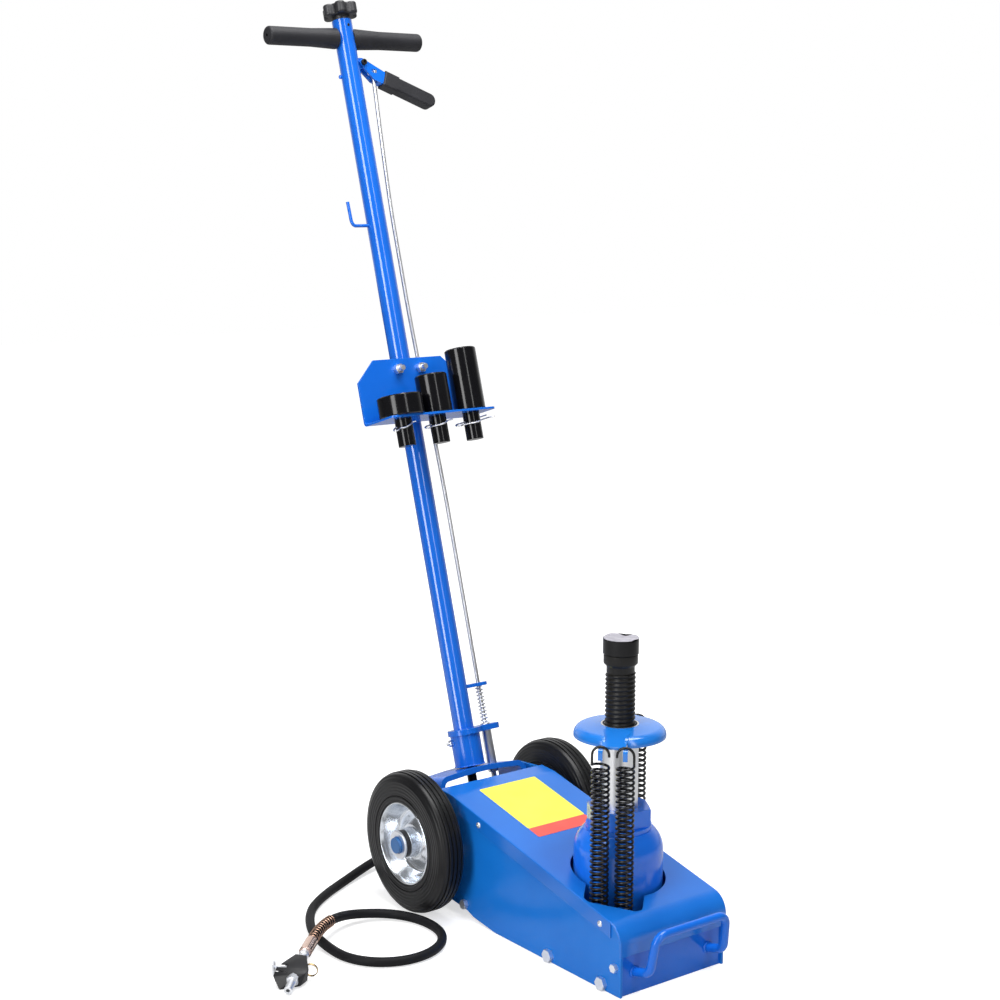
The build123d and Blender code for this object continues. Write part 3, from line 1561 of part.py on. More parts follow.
# Air hose: straight runs and tangent arcs, each arc as large as its runs allow
hose_radii = []
for before, here, after in zip(hose_points, hose_points[1:], hose_points[2:]):
    run_in = Vector(*here) - Vector(*before)
    run_out = Vector(*after) - Vector(*here)
    half_turn = radians(run_in.get_angle(run_out)) / 2
    hose_radii.append(hose_arc_share * min(run_in.length, run_out.length) / tan(half_turn))
with BuildPart() as air_hose:
    with BuildLine() as hose_line:
        FilletPolyline(*hose_points, radius=hose_radii)
    with BuildSketch(Plane(origin=hose_line.line @ 0, z_dir=hose_line.line % 0)):
        Circle(hose_r)
    sweep()
hose_wire = hose_line.wire()
hose_length = hose_wire.length
print("hose radii", [round(r) for r in hose_radii])
print(f"hose length {hose_length:.0f}, volume over section {air_hose.part.volume / (pi * hose_r**2):.0f}")
finish(air_hose, "air_hose")

# Frame of the hose's end, on which the ferrule and the hand valve lie in line
hose_tip = hose_wire @ 1
ferrule_dir = (hose_wire % 1).normalized()
ferrule_plane = Plane(origin=hose_tip - ferrule_dir * ferrule_grip, z_dir=ferrule_dir)

# Crimped ferrule over the end of the hose
with BuildPart() as hose_ferrule:
    with BuildSketch(ferrule_plane):
        Circle(ferrule_r)
    extrude(amount=ferrule_length)
    with BuildSketch(ferrule_plane):
        Circle(hose_r + seat_gap)
    extrude(amount=ferrule_grip, mode=Mode.SUBTRACT)
finish(hose_ferrule, "hose_ferrule")

# Wound guard round the last stretch of the hose
with BuildPart() as hose_guard:
    guard_stations = []
    guard_coil_r = hose_r + guard_wire / 2 + 2 * body_gap
    guard_start = hose_length - ferrule_grip - guard_wire * guard_end_gap - body_gap - guard_length
    for i in range(2 * guard_turns + 1):
        at = (guard_start + guard_length * i / (2 * guard_turns)) / hose_length
        along = (hose_wire % at).normalized()
        level = Vector(0, 0, 1).cross(along).normalized()
        upright = along.cross(level)
        turn = pi * i
        out = level * cos(turn) + upright * sin(turn)
        sweep_dir = upright * cos(turn) - level * sin(turn)
        pitch = guard_length / guard_turns
        direction = (sweep_dir * (2 * pi * guard_coil_r) + along * pitch).normalized()
        guard_stations.append((hose_wire @ at + out * guard_coil_r, direction))
    guard_line = bend_wire(guard_stations, guard_wire)
least_gap(guard_line, guard_wire, "hose_guard")
finish(hose_guard, "hose_guard")

# Hand valve: a block with sloped shoulders and flanks, its nose dipping to the floor
valve_start = ferrule_plane.origin + ferrule_dir * ferrule_length
level_dir = Vector(ferrule_dir.X, ferrule_dir.Y, 0).normalized()
valve_axis = level_dir * cos(radians(valve_dip)) - Vector(0, 0, sin(radians(valve_dip)))
valve_up_dir = level_dir * sin(radians(valve_dip)) + Vector(0, 0, cos(radians(valve_dip)))
valve_plane = Plane(origin=valve_start, x_dir=valve_axis, z_dir=valve_up_dir)
flank_plane = Plane(origin=valve_start, x_dir=valve_plane.y_dir, z_dir=valve_axis)
flank_fall = (valve_width - valve_low_width) / 2 / (valve_up + valve_down)
thumb_side = valve_width / 2 - (valve_up - thumb_lift) * flank_fall
slot_bottom = thumb_side - thumb_slot_depth
pin_y = -(slot_bottom + thumb_eye_r + 2 * body_gap)
with BuildPart() as air_valve_body:
    with BuildSketch(valve_plane.offset(-valve_down)):
        with BuildLine():
            Polyline(
                (-valve_neck / 2, -valve_neck / 2),
                (0, -valve_neck / 2),
                (valve_shoulder, -valve_width / 2),
                (valve_length, -valve_width / 2),
                (valve_length, valve_width / 2),
                (valve_shoulder, valve_width / 2),
                (0, valve_neck / 2),
                (-valve_neck / 2, valve_neck / 2),
                close=True,
            )
        make_face()
    extrude(amount=valve_down + valve_up)
    with BuildSketch(flank_plane.offset(-valve_neck)):
        with BuildLine():
            Polyline(
                (-valve_low_width / 2, -valve_down),
                (valve_low_width / 2, -valve_down),
                (valve_width / 2, valve_up),
                (-valve_width / 2, valve_up),
                close=True,
            )
        make_face()
    extrude(amount=2 * valve_length, mode=Mode.INTERSECT)
    with BuildSketch(ferrule_plane.offset(ferrule_length)):
        Circle(valve_width)
    extrude(amount=-valve_shoulder, mode=Mode.SUBTRACT)
    top_edges = air_valve_body.faces().sort_by(Axis(valve_start, valve_up_dir))[-1].edges()
    chamfer(top_edges.sort_by(Axis(valve_start, valve_axis))[1:], valve_edge)
    slot_low = thumb_lift - thumb_arm / 2 - body_gap
    with BuildSketch(valve_plane.offset(slot_low)):
        with Locations((thumb_place, -slot_bottom)):
            Rectangle(2 * thumb_slot_half, valve_width, align=(Align.CENTER, Align.MAX))
    extrude(amount=thumb_arm + 2 * body_gap, mode=Mode.SUBTRACT)
    with BuildSketch(valve_plane.offset(slot_low)):
        with Locations((thumb_place, pin_y)):
            Circle(thumb_pin_r)
    extrude(amount=thumb_arm + 2 * body_gap)
finish(air_valve_body, "air_valve_body")

# Air nipple on the front of the hand valve
nipple_lift = (valve_up - valve_down) / 2
nipple_plane = Plane(
    origin=valve_plane.from_local_coords((valve_length, 0, nipple_lift)),
    x_dir=valve_up_dir,
    z_dir=valve_axis,
)
with BuildPart() as air_nipple:
    with BuildSketch(nipple_plane):
        RegularPolygon(nipple_hex / 2, 6, major_radius=False)
    extrude(amount=nipple_hex_length)
    with BuildSketch(nipple_plane):
        Circle(nipple_r)
    extrude(amount=nipple_length)
    with BuildSketch(nipple_plane.offset(nipple_hex_length)):
        Circle(nipple_bore_r)
    extrude(amount=nipple_length, mode=Mode.SUBTRACT)
finish(air_nipple, "air_nipple")

# Thumb lever in the slot of the hand valve: an arm on the pin, with a small paddle outside
with BuildPart() as air_valve_lever:
    paddle_y = thumb_side + thumb_reach
    with BuildSketch(valve_plane.offset(thumb_lift - thumb_arm / 2)):
        with Locations((thumb_place, pin_y)):
            Circle(thumb_eye_r)
            Rectangle(thumb_arm, paddle_y + pin_y, align=(Align.CENTER, Align.MAX))
            Circle(thumb_pin_r + running_gap, mode=Mode.SUBTRACT)
    extrude(amount=thumb_arm)
    with BuildSketch(valve_plane.offset(thumb_lift - thumb_height / 2)):
        with Locations((thumb_place, thumb_wall / 2 - paddle_y)):
            Rectangle(thumb_width, thumb_wall)
    extrude(amount=thumb_height)
finish(air_valve_lever, "air_valve_lever")
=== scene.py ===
import math
import bpy
from mathutils import Matrix, Vector


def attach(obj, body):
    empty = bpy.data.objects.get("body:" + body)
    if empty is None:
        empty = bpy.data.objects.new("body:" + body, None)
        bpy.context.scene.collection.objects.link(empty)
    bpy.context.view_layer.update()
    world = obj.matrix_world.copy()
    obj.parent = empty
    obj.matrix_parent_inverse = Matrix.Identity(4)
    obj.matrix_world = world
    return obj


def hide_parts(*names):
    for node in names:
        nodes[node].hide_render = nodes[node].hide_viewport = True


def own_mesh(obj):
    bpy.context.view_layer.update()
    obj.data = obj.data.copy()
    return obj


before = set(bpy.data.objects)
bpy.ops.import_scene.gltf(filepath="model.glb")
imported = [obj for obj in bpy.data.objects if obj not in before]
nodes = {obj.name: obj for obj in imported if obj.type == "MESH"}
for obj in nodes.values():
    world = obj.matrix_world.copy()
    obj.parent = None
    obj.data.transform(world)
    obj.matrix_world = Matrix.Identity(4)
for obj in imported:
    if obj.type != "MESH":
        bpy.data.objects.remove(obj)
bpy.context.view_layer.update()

mm = 0.001  # sizes of pieces are in mm, Blender's own in metres
mergeReach = 0.005 * mm
bothSides = (("left", -1), ("right", 1))
print("frame loaded,", len(nodes), "nodes")


# small bench tools

def pick(*objs):
    if bpy.context.mode != "OBJECT":
        bpy.ops.object.mode_set(mode="OBJECT")
    bpy.ops.object.select_all(action="DESELECT")
    for obj in objs:
        obj.select_set(True)
    if objs:
        bpy.context.view_layer.objects.active = objs[0]


def closeShape():  # merges doubles, turns the faces outwards and leaves edit mode
    bpy.ops.mesh.select_all(action="SELECT")
    bpy.ops.mesh.remove_doubles(threshold=mergeReach)
    bpy.ops.mesh.normals_make_consistent(inside=False)
    bpy.ops.object.mode_set(mode="OBJECT")


def applyModifier(obj, modifier):
    pick(obj)
    bpy.ops.object.modifier_apply(modifier=modifier.name)


def placeAt(obj, origin, up, side):  # stands a piece that was made on Z at its place
    up = Vector(up).normalized()
    side = Vector(side)
    side = (side - up * side.dot(up)).normalized()
    turn = Matrix((side, up.cross(side), up)).transposed().to_4x4()
    obj.matrix_world = Matrix.Translation(Vector(origin)) @ turn
    pick(obj)
    bpy.ops.object.transform_apply(location=True, rotation=True, scale=True)


def smooth(obj, angle):
    pick(obj)
    bpy.ops.object.shade_smooth_by_angle(angle=math.radians(angle))


def drawLine(name, points):  # one vertex, pulled out into a line; stays in edit mode
    pick()
    bpy.ops.mesh.primitive_plane_add(size=2 * mm, location=(0, 0, 0))
    obj = bpy.context.object
    obj.name = name
    obj.data.name = name
    bpy.ops.object.mode_set(mode="EDIT")
    bpy.ops.mesh.select_all(action="SELECT")
    bpy.ops.mesh.merge(type="CENTER")
    bpy.ops.transform.translate(value=points[0])
    for a, b in zip(points, points[1:]):
        step = Vector(b) - Vector(a)
        bpy.ops.mesh.extrude_region_move(TRANSFORM_OT_translate={"value": step})
    return obj


def turnOnLathe(name, outline, steps=48, angle=40):  # outline is radius and height in mm
    obj = drawLine(name, [Vector((r, 0, h)) * mm for r, h in outline])
    bpy.ops.mesh.select_all(action="SELECT")
    bpy.ops.mesh.spin(steps=steps, angle=2 * math.pi, center=(0, 0, 0), axis=(0, 0, 1))
    closeShape()
    smooth(obj, angle)
    return obj


def turnSet(names, outline, steps):  # one turned piece and its copies, each with its own mesh
    pieces = [turnOnLathe(names[0], outline, steps)]
    for name in names[1:]:
        pick(pieces[0])
        bpy.ops.object.duplicate()
        piece = bpy.context.object
        piece.name = name
        piece.data.name = name
        pieces.append(piece)
    return pieces


def bendWire(name, points, radius, sides=3, steps=4):  # metres; one radius, or one for each point
    curve = bpy.data.curves.new(name, "CURVE")
    curve.dimensions = "3D"
    curve.bevel_depth = 1
    curve.bevel_resolution = sides
    curve.resolution_u = steps
    curve.use_fill_caps = True
    spline = curve.splines.new("NURBS")
    spline.points.add(len(points) - 1)
    radii = radius if isinstance(radius, list) else [radius] * len(points)
    for knot, place, thick in zip(spline.points, points, radii):
        knot.co = (*place, 1)
        knot.radius = thick
    spline.order_u = 3
    spline.use_endpoint_u = True
    obj = bpy.data.objects.new(name, curve)
    bpy.context.scene.collection.objects.link(obj)
    return obj


def makeMesh(obj):
    pick(obj)
    bpy.ops.object.convert(target="MESH")
    return bpy.context.object


def windWire(name, points, thick):  # a coil of thin wire, its thickness in mm
    return makeMesh(bendWire(name, points, thick / 2 * mm, sides=2, steps=2))


def fasten(piece, body, standsFor=None):
    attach(piece, body)
    if standsFor:
        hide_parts(standsFor)


# places on the handle: across, up the tube, out from its front
handle = {"foot": (0, 329.8, 175.4), "lean": 16.7}
tubeFoot = Vector(handle["foot"]) * mm
tubeLean = math.radians(handle["lean"])
tubeUp = Vector((0, math.sin(tubeLean), math.cos(tubeLean)))
tubeFront = Vector((0, -tubeUp.z, tubeUp.y))


def onHandle(x, s, f):
    return tubeFoot + (Vector((x, 0, 0)) + tubeUp * s + tubeFront * f) * mm


# camera
view = {
    "at": (-1561.19, -1786.93, 1024.45), "to": (-0.26, 259.02, 578.03),
    "lens": 67.58, "sensor": 36, "roll": 0.12, "far": 50,
}
viewAt = Vector(view["at"])
viewTo = Vector(view["to"])
pick()
bpy.ops.object.camera_add(location=viewAt * mm)
camera = bpy.context.object
look = (viewTo - viewAt).to_track_quat("-Z", "Y").to_matrix()
camera.rotation_euler = (look @ Matrix.Rotation(math.radians(view["roll"]), 3, "Z")).to_euler()
camera.data.lens = view["lens"]
camera.data.sensor_width = view["sensor"]
camera.data.clip_end = view["far"]
bpy.context.scene.camera = camera
bpy.context.scene.view_settings.view_transform = "Standard"
print("camera set")

# air hose, control points as in the part's source
hoseLine = {
    "diameter": 13, "length": 1.01,
    "points": [
        (0, 362, 42), (0, 399, 42), (-19, 432, 34), (-53, 451, 22), (-105, 447, 10.5), (-159, 423, 6.6),
        (-209, 396, 6.7), (-250, 366, 6.6), (-277, 330, 6.7), (-297, 288, 6.6), (-306, 240, 6.7),
        (-306, 192.5, 6.6), (-285.5, 156.5, 6.7), (-249.5, 136, 6.6), (-208.5, 136, 6.7),
        (-172.5, 156.5, 6.6), (-152, 192.5, 6.7), (-153, 239.5, 7), (-174.5, 275.5, 8.5),
        (-210, 294.5, 11.5), (-247, 293.5, 17.5), (-283, 272, 24.5), (-315, 248.5, 25.5),
        (-345.5, 219.5, 23.5),
    ],
}
hosePoints = [Vector(p) * mm for p in hoseLine["points"]]
hose = bendWire("airHose", hosePoints, hoseLine["diameter"] / 2 * mm, sides=5, steps=10)
fasten(hose, "chassis", "air_hose")

# the bare line of the hose, read back for what is wound on it
bareLine = hose.data.copy()
bareLine.bevel_depth = 0
bareLine.resolution_u = 16
bareHose = bpy.data.objects.new("bareHose", bareLine)
bpy.context.scene.collection.objects.link(bareHose)
bareMesh = bpy.data.meshes.new_from_object(bareHose)
routeStops = [v.co.copy() for v in bareMesh.vertices]
bpy.data.objects.remove(bareHose)
bpy.data.meshes.remove(bareMesh)
routeLength = [0.0]
for a, b in zip(routeStops, routeStops[1:]):
    routeLength.append(routeLength[-1] + (b - a).length)


def onHose(s):  # place and direction at a length along the hose
    i = 1
    while i < len(routeLength) - 1 and routeLength[i] < s:
        i += 1
    a, b = routeStops[i - 1], routeStops[i]
    share = (s - routeLength[i - 1]) / (routeLength[i] - routeLength[i - 1])
    return a.lerp(b, share), (b - a).normalized()


# wire guard, wound on the last stretch of the hose
guard = {"turns": 11.5, "length": 74, "wire": 1.5, "coil": 7.4, "back": 16.5, "perTurn": 14}
guardEnd = routeLength[-1] - guard["back"] * mm
guardSteps = guard["turns"] * guard["perTurn"]
guardPoints = []
for i in range(int(guardSteps) + 1):
    angle = 2 * math.pi * i / guard["perTurn"]
    place, along = onHose(guardEnd - guard["length"] * mm * (1 - i / guardSteps))
    side = along.cross(Vector((0, 0, 1))).normalized()
    out = side * math.cos(angle) + side.cross(along) * math.sin(angle)
    guardPoints.append(place + out * guard["coil"] * mm)
hoseGuard = windWire("hoseGuard", guardPoints, guard["wire"])
fasten(hoseGuard, "chassis", "hose_guard")
print("hose", round(routeLength[-1], 3), "m, guard wound")

# return springs: close coils with a hook at each end
returnSpring = {
    "turn": -47.2, "halfGap": 16, "reach": 76, "coil": 11.2, "wire": 3.5, "low": 70, "high": 284,
    "turns": 30, "perTurn": 14, "neck": 7, "runOut": (0.3, 2.2),
    "hook": 11.0, "hookTop": 308.6, "hookLow": 35.3, "hookSteps": 8, "tail": 2.5,
    "held": 38.0, "fingerTop": 305.9, "drop": 100,
}


def returnSpringLine(centre, across):  # from the lower hook's tail to the upper one's, in mm
    r = returnSpring
    around = Vector((0, 0, 1)).cross(across)

    def ring(radius, angle, height):
        return (
            centre + across * radius * math.cos(angle) + around * radius * math.sin(angle)
            + Vector((0, 0, height))
        )

    def hookArc(way, height):
        arc = []
        for i in range(r["hookSteps"] + 1):
            angle = math.pi * i / r["hookSteps"]
            rise = height - way * r["hook"] * (1 - math.sin(angle))
            arc.append(centre + across * way * r["hook"] * math.cos(angle) + Vector((0, 0, rise)))
        return arc

    tail = Vector((0, 0, r["tail"]))
    lowHook = hookArc(-1, r["hookLow"])
    topHook = hookArc(1, r["hookTop"])
    count = r["turns"] * r["perTurn"]
    coil = []
    for i in range(count + 1):
        height = r["low"] + (r["high"] - r["low"]) * i / count
        coil.append(ring(r["coil"], 2 * math.pi * i / r["perTurn"], height))
    outAngle, outRise = r["runOut"]
    lowNeck = [ring(r["coil"], 0, r["low"] - r["neck"])]
    topNeck = [ring(r["coil"], outAngle, r["high"] + outRise), ring(r["hook"], 0, r["high"] + r["neck"])]
    return [lowHook[0] + tail] + lowHook + lowNeck + coil + topNeck + topHook + [topHook[-1] - tail]


springs = []
diagonal = Matrix.Rotation(math.radians(returnSpring["turn"]), 3, "Z")
for endName, end in (("front", -1), ("rear", 1)):
    for sideName, side in bothSides:
        centre = diagonal @ Vector((side * returnSpring["halfGap"], end * returnSpring["reach"], 0))
        across = diagonal @ Vector((side, 0, 0))
        points = [p * mm for p in returnSpringLine(centre, across)]
        piece = windWire(f"{endName}{sideName.title()}Spring", points, returnSpring["wire"])
        fasten(piece, "chassis", f"spring_{endName}_{sideName}")
        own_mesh(piece)
        springs.append(piece)

# lock spring on its rod
lockCoil = {
    "x": 39, "low": 57.2, "high": 109.8, "coil": 5.4, "wire": 1.6, "turns": 10, "perTurn": 14,
    "endGap": 1, "lift": 8,
}
c = lockCoil
count = c["turns"] * c["perTurn"]
points = []
for i in range(count + 1):
    angle = 2 * math.pi * i / c["perTurn"]
    s = c["low"] + (c["high"] - c["low"]) * i / count
    points.append(onHandle(c["x"] + c["coil"] * math.cos(angle), s, c["coil"] * math.sin(angle)))
lockSpring = windWire("lockSpring", points, c["wire"])
fasten(lockSpring, "handle", "lock_spring")
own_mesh(lockSpring)
print("springs wound")

# lock rod: a bent rod, the lock pin at its foot and a cross pin in the lever's eye
lockPart = {
    "line": [(39, 55), (39, 300), (39, 440), (30, 640), (30, 760), (30, 860), (40, 1043)], "rod": 3.0,
    "pin": [
        (0, -28), (3.3, -28), (4, -27.2), (4, -16), (6.6, -16), (7.25, -15.3), (7.25, 55.2), (6.5, 56),
        (0, 56),
    ],
    "cross": [(0, -7.3), (2.2, -7.3), (2.5, -7.0), (2.5, 7.0), (2.2, 7.3), (0, 7.3)],
}


def bendRod(name, part):  # a round rod on the handle's middle plane
    points = [onHandle(x, s, 0) for x, s in part["line"]]
    rod = makeMesh(bendWire(name, points, part["rod"] * mm, sides=6, steps=10))
    smooth(rod, 60)
    return rod


lockRod = bendRod("lockRod", lockPart)
lockPin = turnOnLathe("lockPin", lockPart["pin"], 40)
placeAt(lockPin, onHandle(lockPart["line"][0][0], 0, 0), tubeUp, (1, 0, 0))
crossPin = turnOnLathe("lockCrossPin", lockPart["cross"], 28)
placeAt(crossPin, onHandle(*lockPart["line"][-1], 0), tubeFront, (1, 0, 0))
fasten(lockRod, "lock", "lock_rod")
for piece in (lockPin, crossPin):
    fasten(piece, "lock")

# hose hook, one bent wire from the tube
hookPart = {"line": [(-13, 808), (-30, 808), (-43.5, 808), (-44.1, 830), (-44.5, 844)], "rod": 2.5}
hoseHook = bendRod("hoseHook", hookPart)
fasten(hoseHook, "handle", "hose_hook")
print("rods bent")

# extension screw: thread, neck, collar and the spigot that carries the saddle
screwPart = {
    "pitch": 6, "crest": 20, "root": 18.1, "low": 276, "high": 386.6, "turns": 20, "steps": 40,
    "rootEase": (0.35, 0.8), "crestEase": (0.4, 1.0),
    "neck": [
        (0, 382), (17.6, 382), (17.6, 386.2), (18.5, 387.7), (18.5, 395.3), (19.0, 396.3), (22.0, 399.3),
        (22.5, 400.1), (22.5, 411.5), (21.9, 412.1), (10, 412.1), (10, 424.1), (0, 424.1),
    ],
}
c = screwPart
half = c["pitch"] / 2
rootOut, rootUp = c["rootEase"]
crestIn, crestUp = c["crestEase"]
tooth = [
    (c["root"], 0), (c["root"] + rootOut, rootUp), (c["crest"] - crestIn, half - crestUp), (c["crest"], half),
    (c["crest"] - crestIn, half + crestUp), (c["root"] + rootOut, c["pitch"] - rootUp),
    (c["root"], c["pitch"]),
]
screw = drawLine("extensionScrew", [Vector((x, 0, z + c["low"] - c["pitch"])) * mm for x, z in tooth])
bpy.ops.object.mode_set(mode="OBJECT")
wind = screw.modifiers.new("wind", "SCREW")
wind.screw_offset = c["pitch"] * mm
wind.iterations = c["turns"]
wind.steps = c["steps"]
wind.render_steps = c["steps"]
wind.use_merge_vertices = True
wind.merge_threshold = 2 * mergeReach
applyModifier(screw, wind)
bpy.ops.object.mode_set(mode="EDIT")
for height, upward in ((c["low"], False), (c["high"], True)):
    bpy.ops.mesh.select_all(action="SELECT")
    bpy.ops.mesh.bisect(
        plane_co=(0, 0, height * mm), plane_no=(0, 0, 1), use_fill=True,
        clear_inner=not upward, clear_outer=upward,
    )
closeShape()
smooth(screw, 50)
screwNeck = turnOnLathe("screwNeck", c["neck"], 56)
fasten(screw, "screw", "extension_screw")
fasten(screwNeck, "screw")
print("screw cut")

# saddle cap: a turned block with one shallow groove that deepens towards the back
saddleCap = {
    "radius": 23.5, "low": 412.4, "high": 434.4, "edge": 0.5, "skirt": 4, "lip": 1, "ease": 0.3,
    "rings": (22.6, 20, 17.5, 15, 12.5, 10, 7.5, 5, 2.5, 0),
    "groove": 33, "half": 7.5, "front": 0.5, "back": 3.6, "wave": 0.45, "waveStep": 0.3, "waveStart": 1,
    "reach": 1.2, "fade": 0.9,
}
c = saddleCap
capLine = [
    (0, c["low"]), (c["radius"] - c["edge"], c["low"]), (c["radius"], c["low"] + c["edge"]),
    (c["radius"], c["high"] - c["skirt"]), (c["radius"], c["high"] - c["lip"]),
    (c["radius"] - c["ease"], c["high"] - c["ease"]),
] + [(radius, c["high"]) for radius in c["rings"]]
saddle = turnOnLathe("saddleCap", capLine, 72)
grooveTurn = math.radians(c["groove"])
for v in saddle.data.vertices:  # press the groove into the top
    if v.co.z > (c["high"] - c["reach"]) * mm:
        along = (v.co.x * math.cos(grooveTurn) + v.co.y * math.sin(grooveTurn)) / mm
        across = (v.co.y * math.cos(grooveTurn) - v.co.x * math.sin(grooveTurn)) / mm
        share = (along / c["radius"] + 1) / 2
        depth = c["front"] + (c["back"] - c["front"]) * share * share
        ripple = c["wave"] * (1 + math.sin(along * c["waveStep"] + c["waveStart"]))
        dip = depth * math.exp(-(across / c["half"]) ** 2) + ripple
        v.co.z -= dip * mm * min(1, max(0, (v.co.z / mm - c["high"] + c["reach"]) / c["fade"]))
smooth(saddle, 50)
fasten(saddle, "saddle", "saddle")

# dark wiper ring in the ram's mouth, round the screw
wiper = {"inner": 20.4, "outer": 22.9, "low": 318.2, "high": 318.9, "edge": 0.25}
w = wiper
wiperLine = [
    (w["inner"], w["low"]), (w["outer"], w["low"]), (w["outer"], w["high"] - w["edge"]),
    (w["outer"] - w["edge"], w["high"]), (w["inner"] + w["edge"], w["high"]),
    (w["inner"], w["high"] - w["edge"]), (w["inner"], w["low"]),
]
ramWiper = turnOnLathe("ramWiper", wiperLine, 64)
fasten(ramWiper, "ram")
print("saddle and wiper turned")

# wheel washers on the axle, outside the bushes
washer = {
    "inner": 11.2, "outer": 20, "wall": 2.75, "edge": 0.6, "mouth": (1.2, 0.9), "x": 152.85,
    "axle": (290, 100),
}
w = washer
mouthOut, mouthIn = w["mouth"]
washerLine = [
    (w["inner"], 0), (w["outer"], 0), (w["outer"], w["wall"] - w["edge"]),
    (w["outer"] - w["edge"], w["wall"]), (w["inner"] + mouthOut, w["wall"]),
    (w["inner"], w["wall"] - mouthIn), (w["inner"], 0),
]


def onAxle(x):
    return Vector((x, *washer["axle"])) * mm


washers = turnSet([f"{sideName}Washer" for sideName, side in bothSides], washerLine, 64)
for piece, (sideName, side) in zip(washers, bothSides):
    placeAt(piece, onAxle(side * washer["x"]), (side, 0, 0), (0, 0, 1))
    fasten(piece, "chassis")

# pressed rims: barrel, dished web and hub; radius, height and how far each corner is eased
rimPart = {
    "x": 127.5, "steps": 5,
    "corners": [
        (59.0, -18.5, 1.0), (56.9, -15, 1.5), (50.9, 0, 1.5), (56.9, 15, 1.5), (59.0, 18.5, 1.0),
        (56.9, 19.8, 1.0), (54.5, 15.9, 2.0), (48.9, 1.9, 2.0), (45, -6, 3.5), (40, -6, 2.4), (25, 4, 2.4),
        (21, 4, 1.2), (21, 18, 0.6), (15.2, 18, 0.3), (15.2, -21.5, 0.3), (21, -21.5, 0.6), (21, 1.5, 0.6),
        (24, 1.5, 1.2), (38.5, -8.5, 2.4), (46, -8.5, 1.2), (48.6, -1.2, 0.8), (54.5, -15.9, 2.0),
        (56.9, -19.8, 1.0),
    ],
}


def easeCorners(corners, steps):
    line = []
    neighbours = zip(corners[-1:] + corners, corners, corners[1:] + corners[:1])
    for before, (r, h, ease), after in neighbours:
        here = Vector((r, h))
        start = here + (Vector(before[:2]) - here).normalized() * ease
        end = here + (Vector(after[:2]) - here).normalized() * ease
        for i in range(steps + 1):
            share = i / steps
            line.append(start.lerp(here, share).lerp(here.lerp(end, share), share))
    return line + line[:1]


rimLine = easeCorners(rimPart["corners"], rimPart["steps"])
rims = turnSet([f"{sideName}WheelRim" for sideName, side in bothSides], rimLine, 96)
for piece, (sideName, side) in zip(rims, bothSides):
    placeAt(piece, onAxle(side * rimPart["x"]), (side, 0, 0), (0, 0, 1))
    fasten(piece, f"{sideName}_wheel", f"{sideName}_rim")
print("washers turned, rims pressed")

# plain panel on the cover's slope: a yellow field over a red band
panel = {
    "left": -47, "right": 52.5, "bandFront": 109, "fieldFront": 132, "back": 245, "halfGap": 0.1,
    "thick": 0.3, "corner": 2.5,
}
coverFall = {"at0": 116.69, "rise": 0.2199}
slopeUp = Vector((0, -coverFall["rise"], 1)).normalized()


def laySheet(name, front, back):
    middle = (front + back) / 2
    height = coverFall["at0"] + coverFall["rise"] * middle
    centre = Vector(((panel["left"] + panel["right"]) / 2, middle, height)) * mm
    width = (panel["right"] - panel["left"]) * mm
    length = (back - front) * mm / slopeUp.z
    pick()
    bpy.ops.mesh.primitive_plane_add(size=1, location=(0, 0, 0))
    sheet = bpy.context.object
    sheet.name = name
    bpy.ops.object.mode_set(mode="EDIT")
    bpy.ops.mesh.select_all(action="SELECT")
    bpy.ops.transform.resize(value=(width, length, 1))
    bpy.ops.mesh.bevel(offset=panel["corner"] * mm, segments=5, affect="VERTICES")
    bpy.ops.mesh.select_all(action="SELECT")
    bpy.ops.mesh.extrude_region_move(TRANSFORM_OT_translate={"value": (0, 0, panel["thick"] * mm)})
    closeShape()
    placeAt(sheet, centre, slopeUp, (1, 0, 0))
    fasten(sheet, "chassis")
    return sheet


panelField = laySheet("coverPanel", panel["fieldFront"] + panel["halfGap"], panel["back"])
panelBand = laySheet("coverBand", panel["bandFront"], panel["fieldFront"] - panel["halfGap"])

# pan head screws that hold the cover's flanges
panHead = {
    "line": [(0, 0.9), (0.9, 0.9), (1.3, 2.1), (2.5, 2.0), (3.7, 1.2), (4.1, 0.4), (4.1, -0.5), (0, -0.5)],
    "x": 92, "places": {"rear": (185.8, 145.1), "front": (-72, 88.1)},
}
screwSpots = {
    f"{endName}{sideName.title()}CoverScrew": (side, place)
    for endName, place in panHead["places"].items() for sideName, side in bothSides
}
coverScrews = turnSet(list(screwSpots), panHead["line"], 28)
for piece, (side, place) in zip(coverScrews, screwSpots.values()):
    placeAt(piece, Vector((side * panHead["x"], *place)) * mm, (side, 0, 0), (0, 0, 1))
    fasten(piece, "chassis")

# spring clips through the adapters' spigots: place, lean, left and right reach
clips = {
    "pad": (-60, 500.5, 23.7, -20, 13), "short": (0, 498.5, 15.7, -25, 17), "long": (60, 496, 10.6, -30, 32),
}
clipWire = {"thick": 2.3, "front": 69, "hug": 14.2, "tip": 22}


def clipLine(left, right):  # a straight leg, a small loop and a leg that hugs the spigot
    hug = clipWire["hug"]
    return [
        (right - 4, 0), (left + 9, 0), (left + 3, -2), (left - 2, 1), (left - 2, 6), (left + 3, 8.5),
        (left + 8, 6.5), (left + 10, 8.5), (-9, 11), (-5, hug - 0.6), (0, hug), (5, hug - 0.6), (9, 11.2),
        (right - 3, 12), (right, 15),
    ]


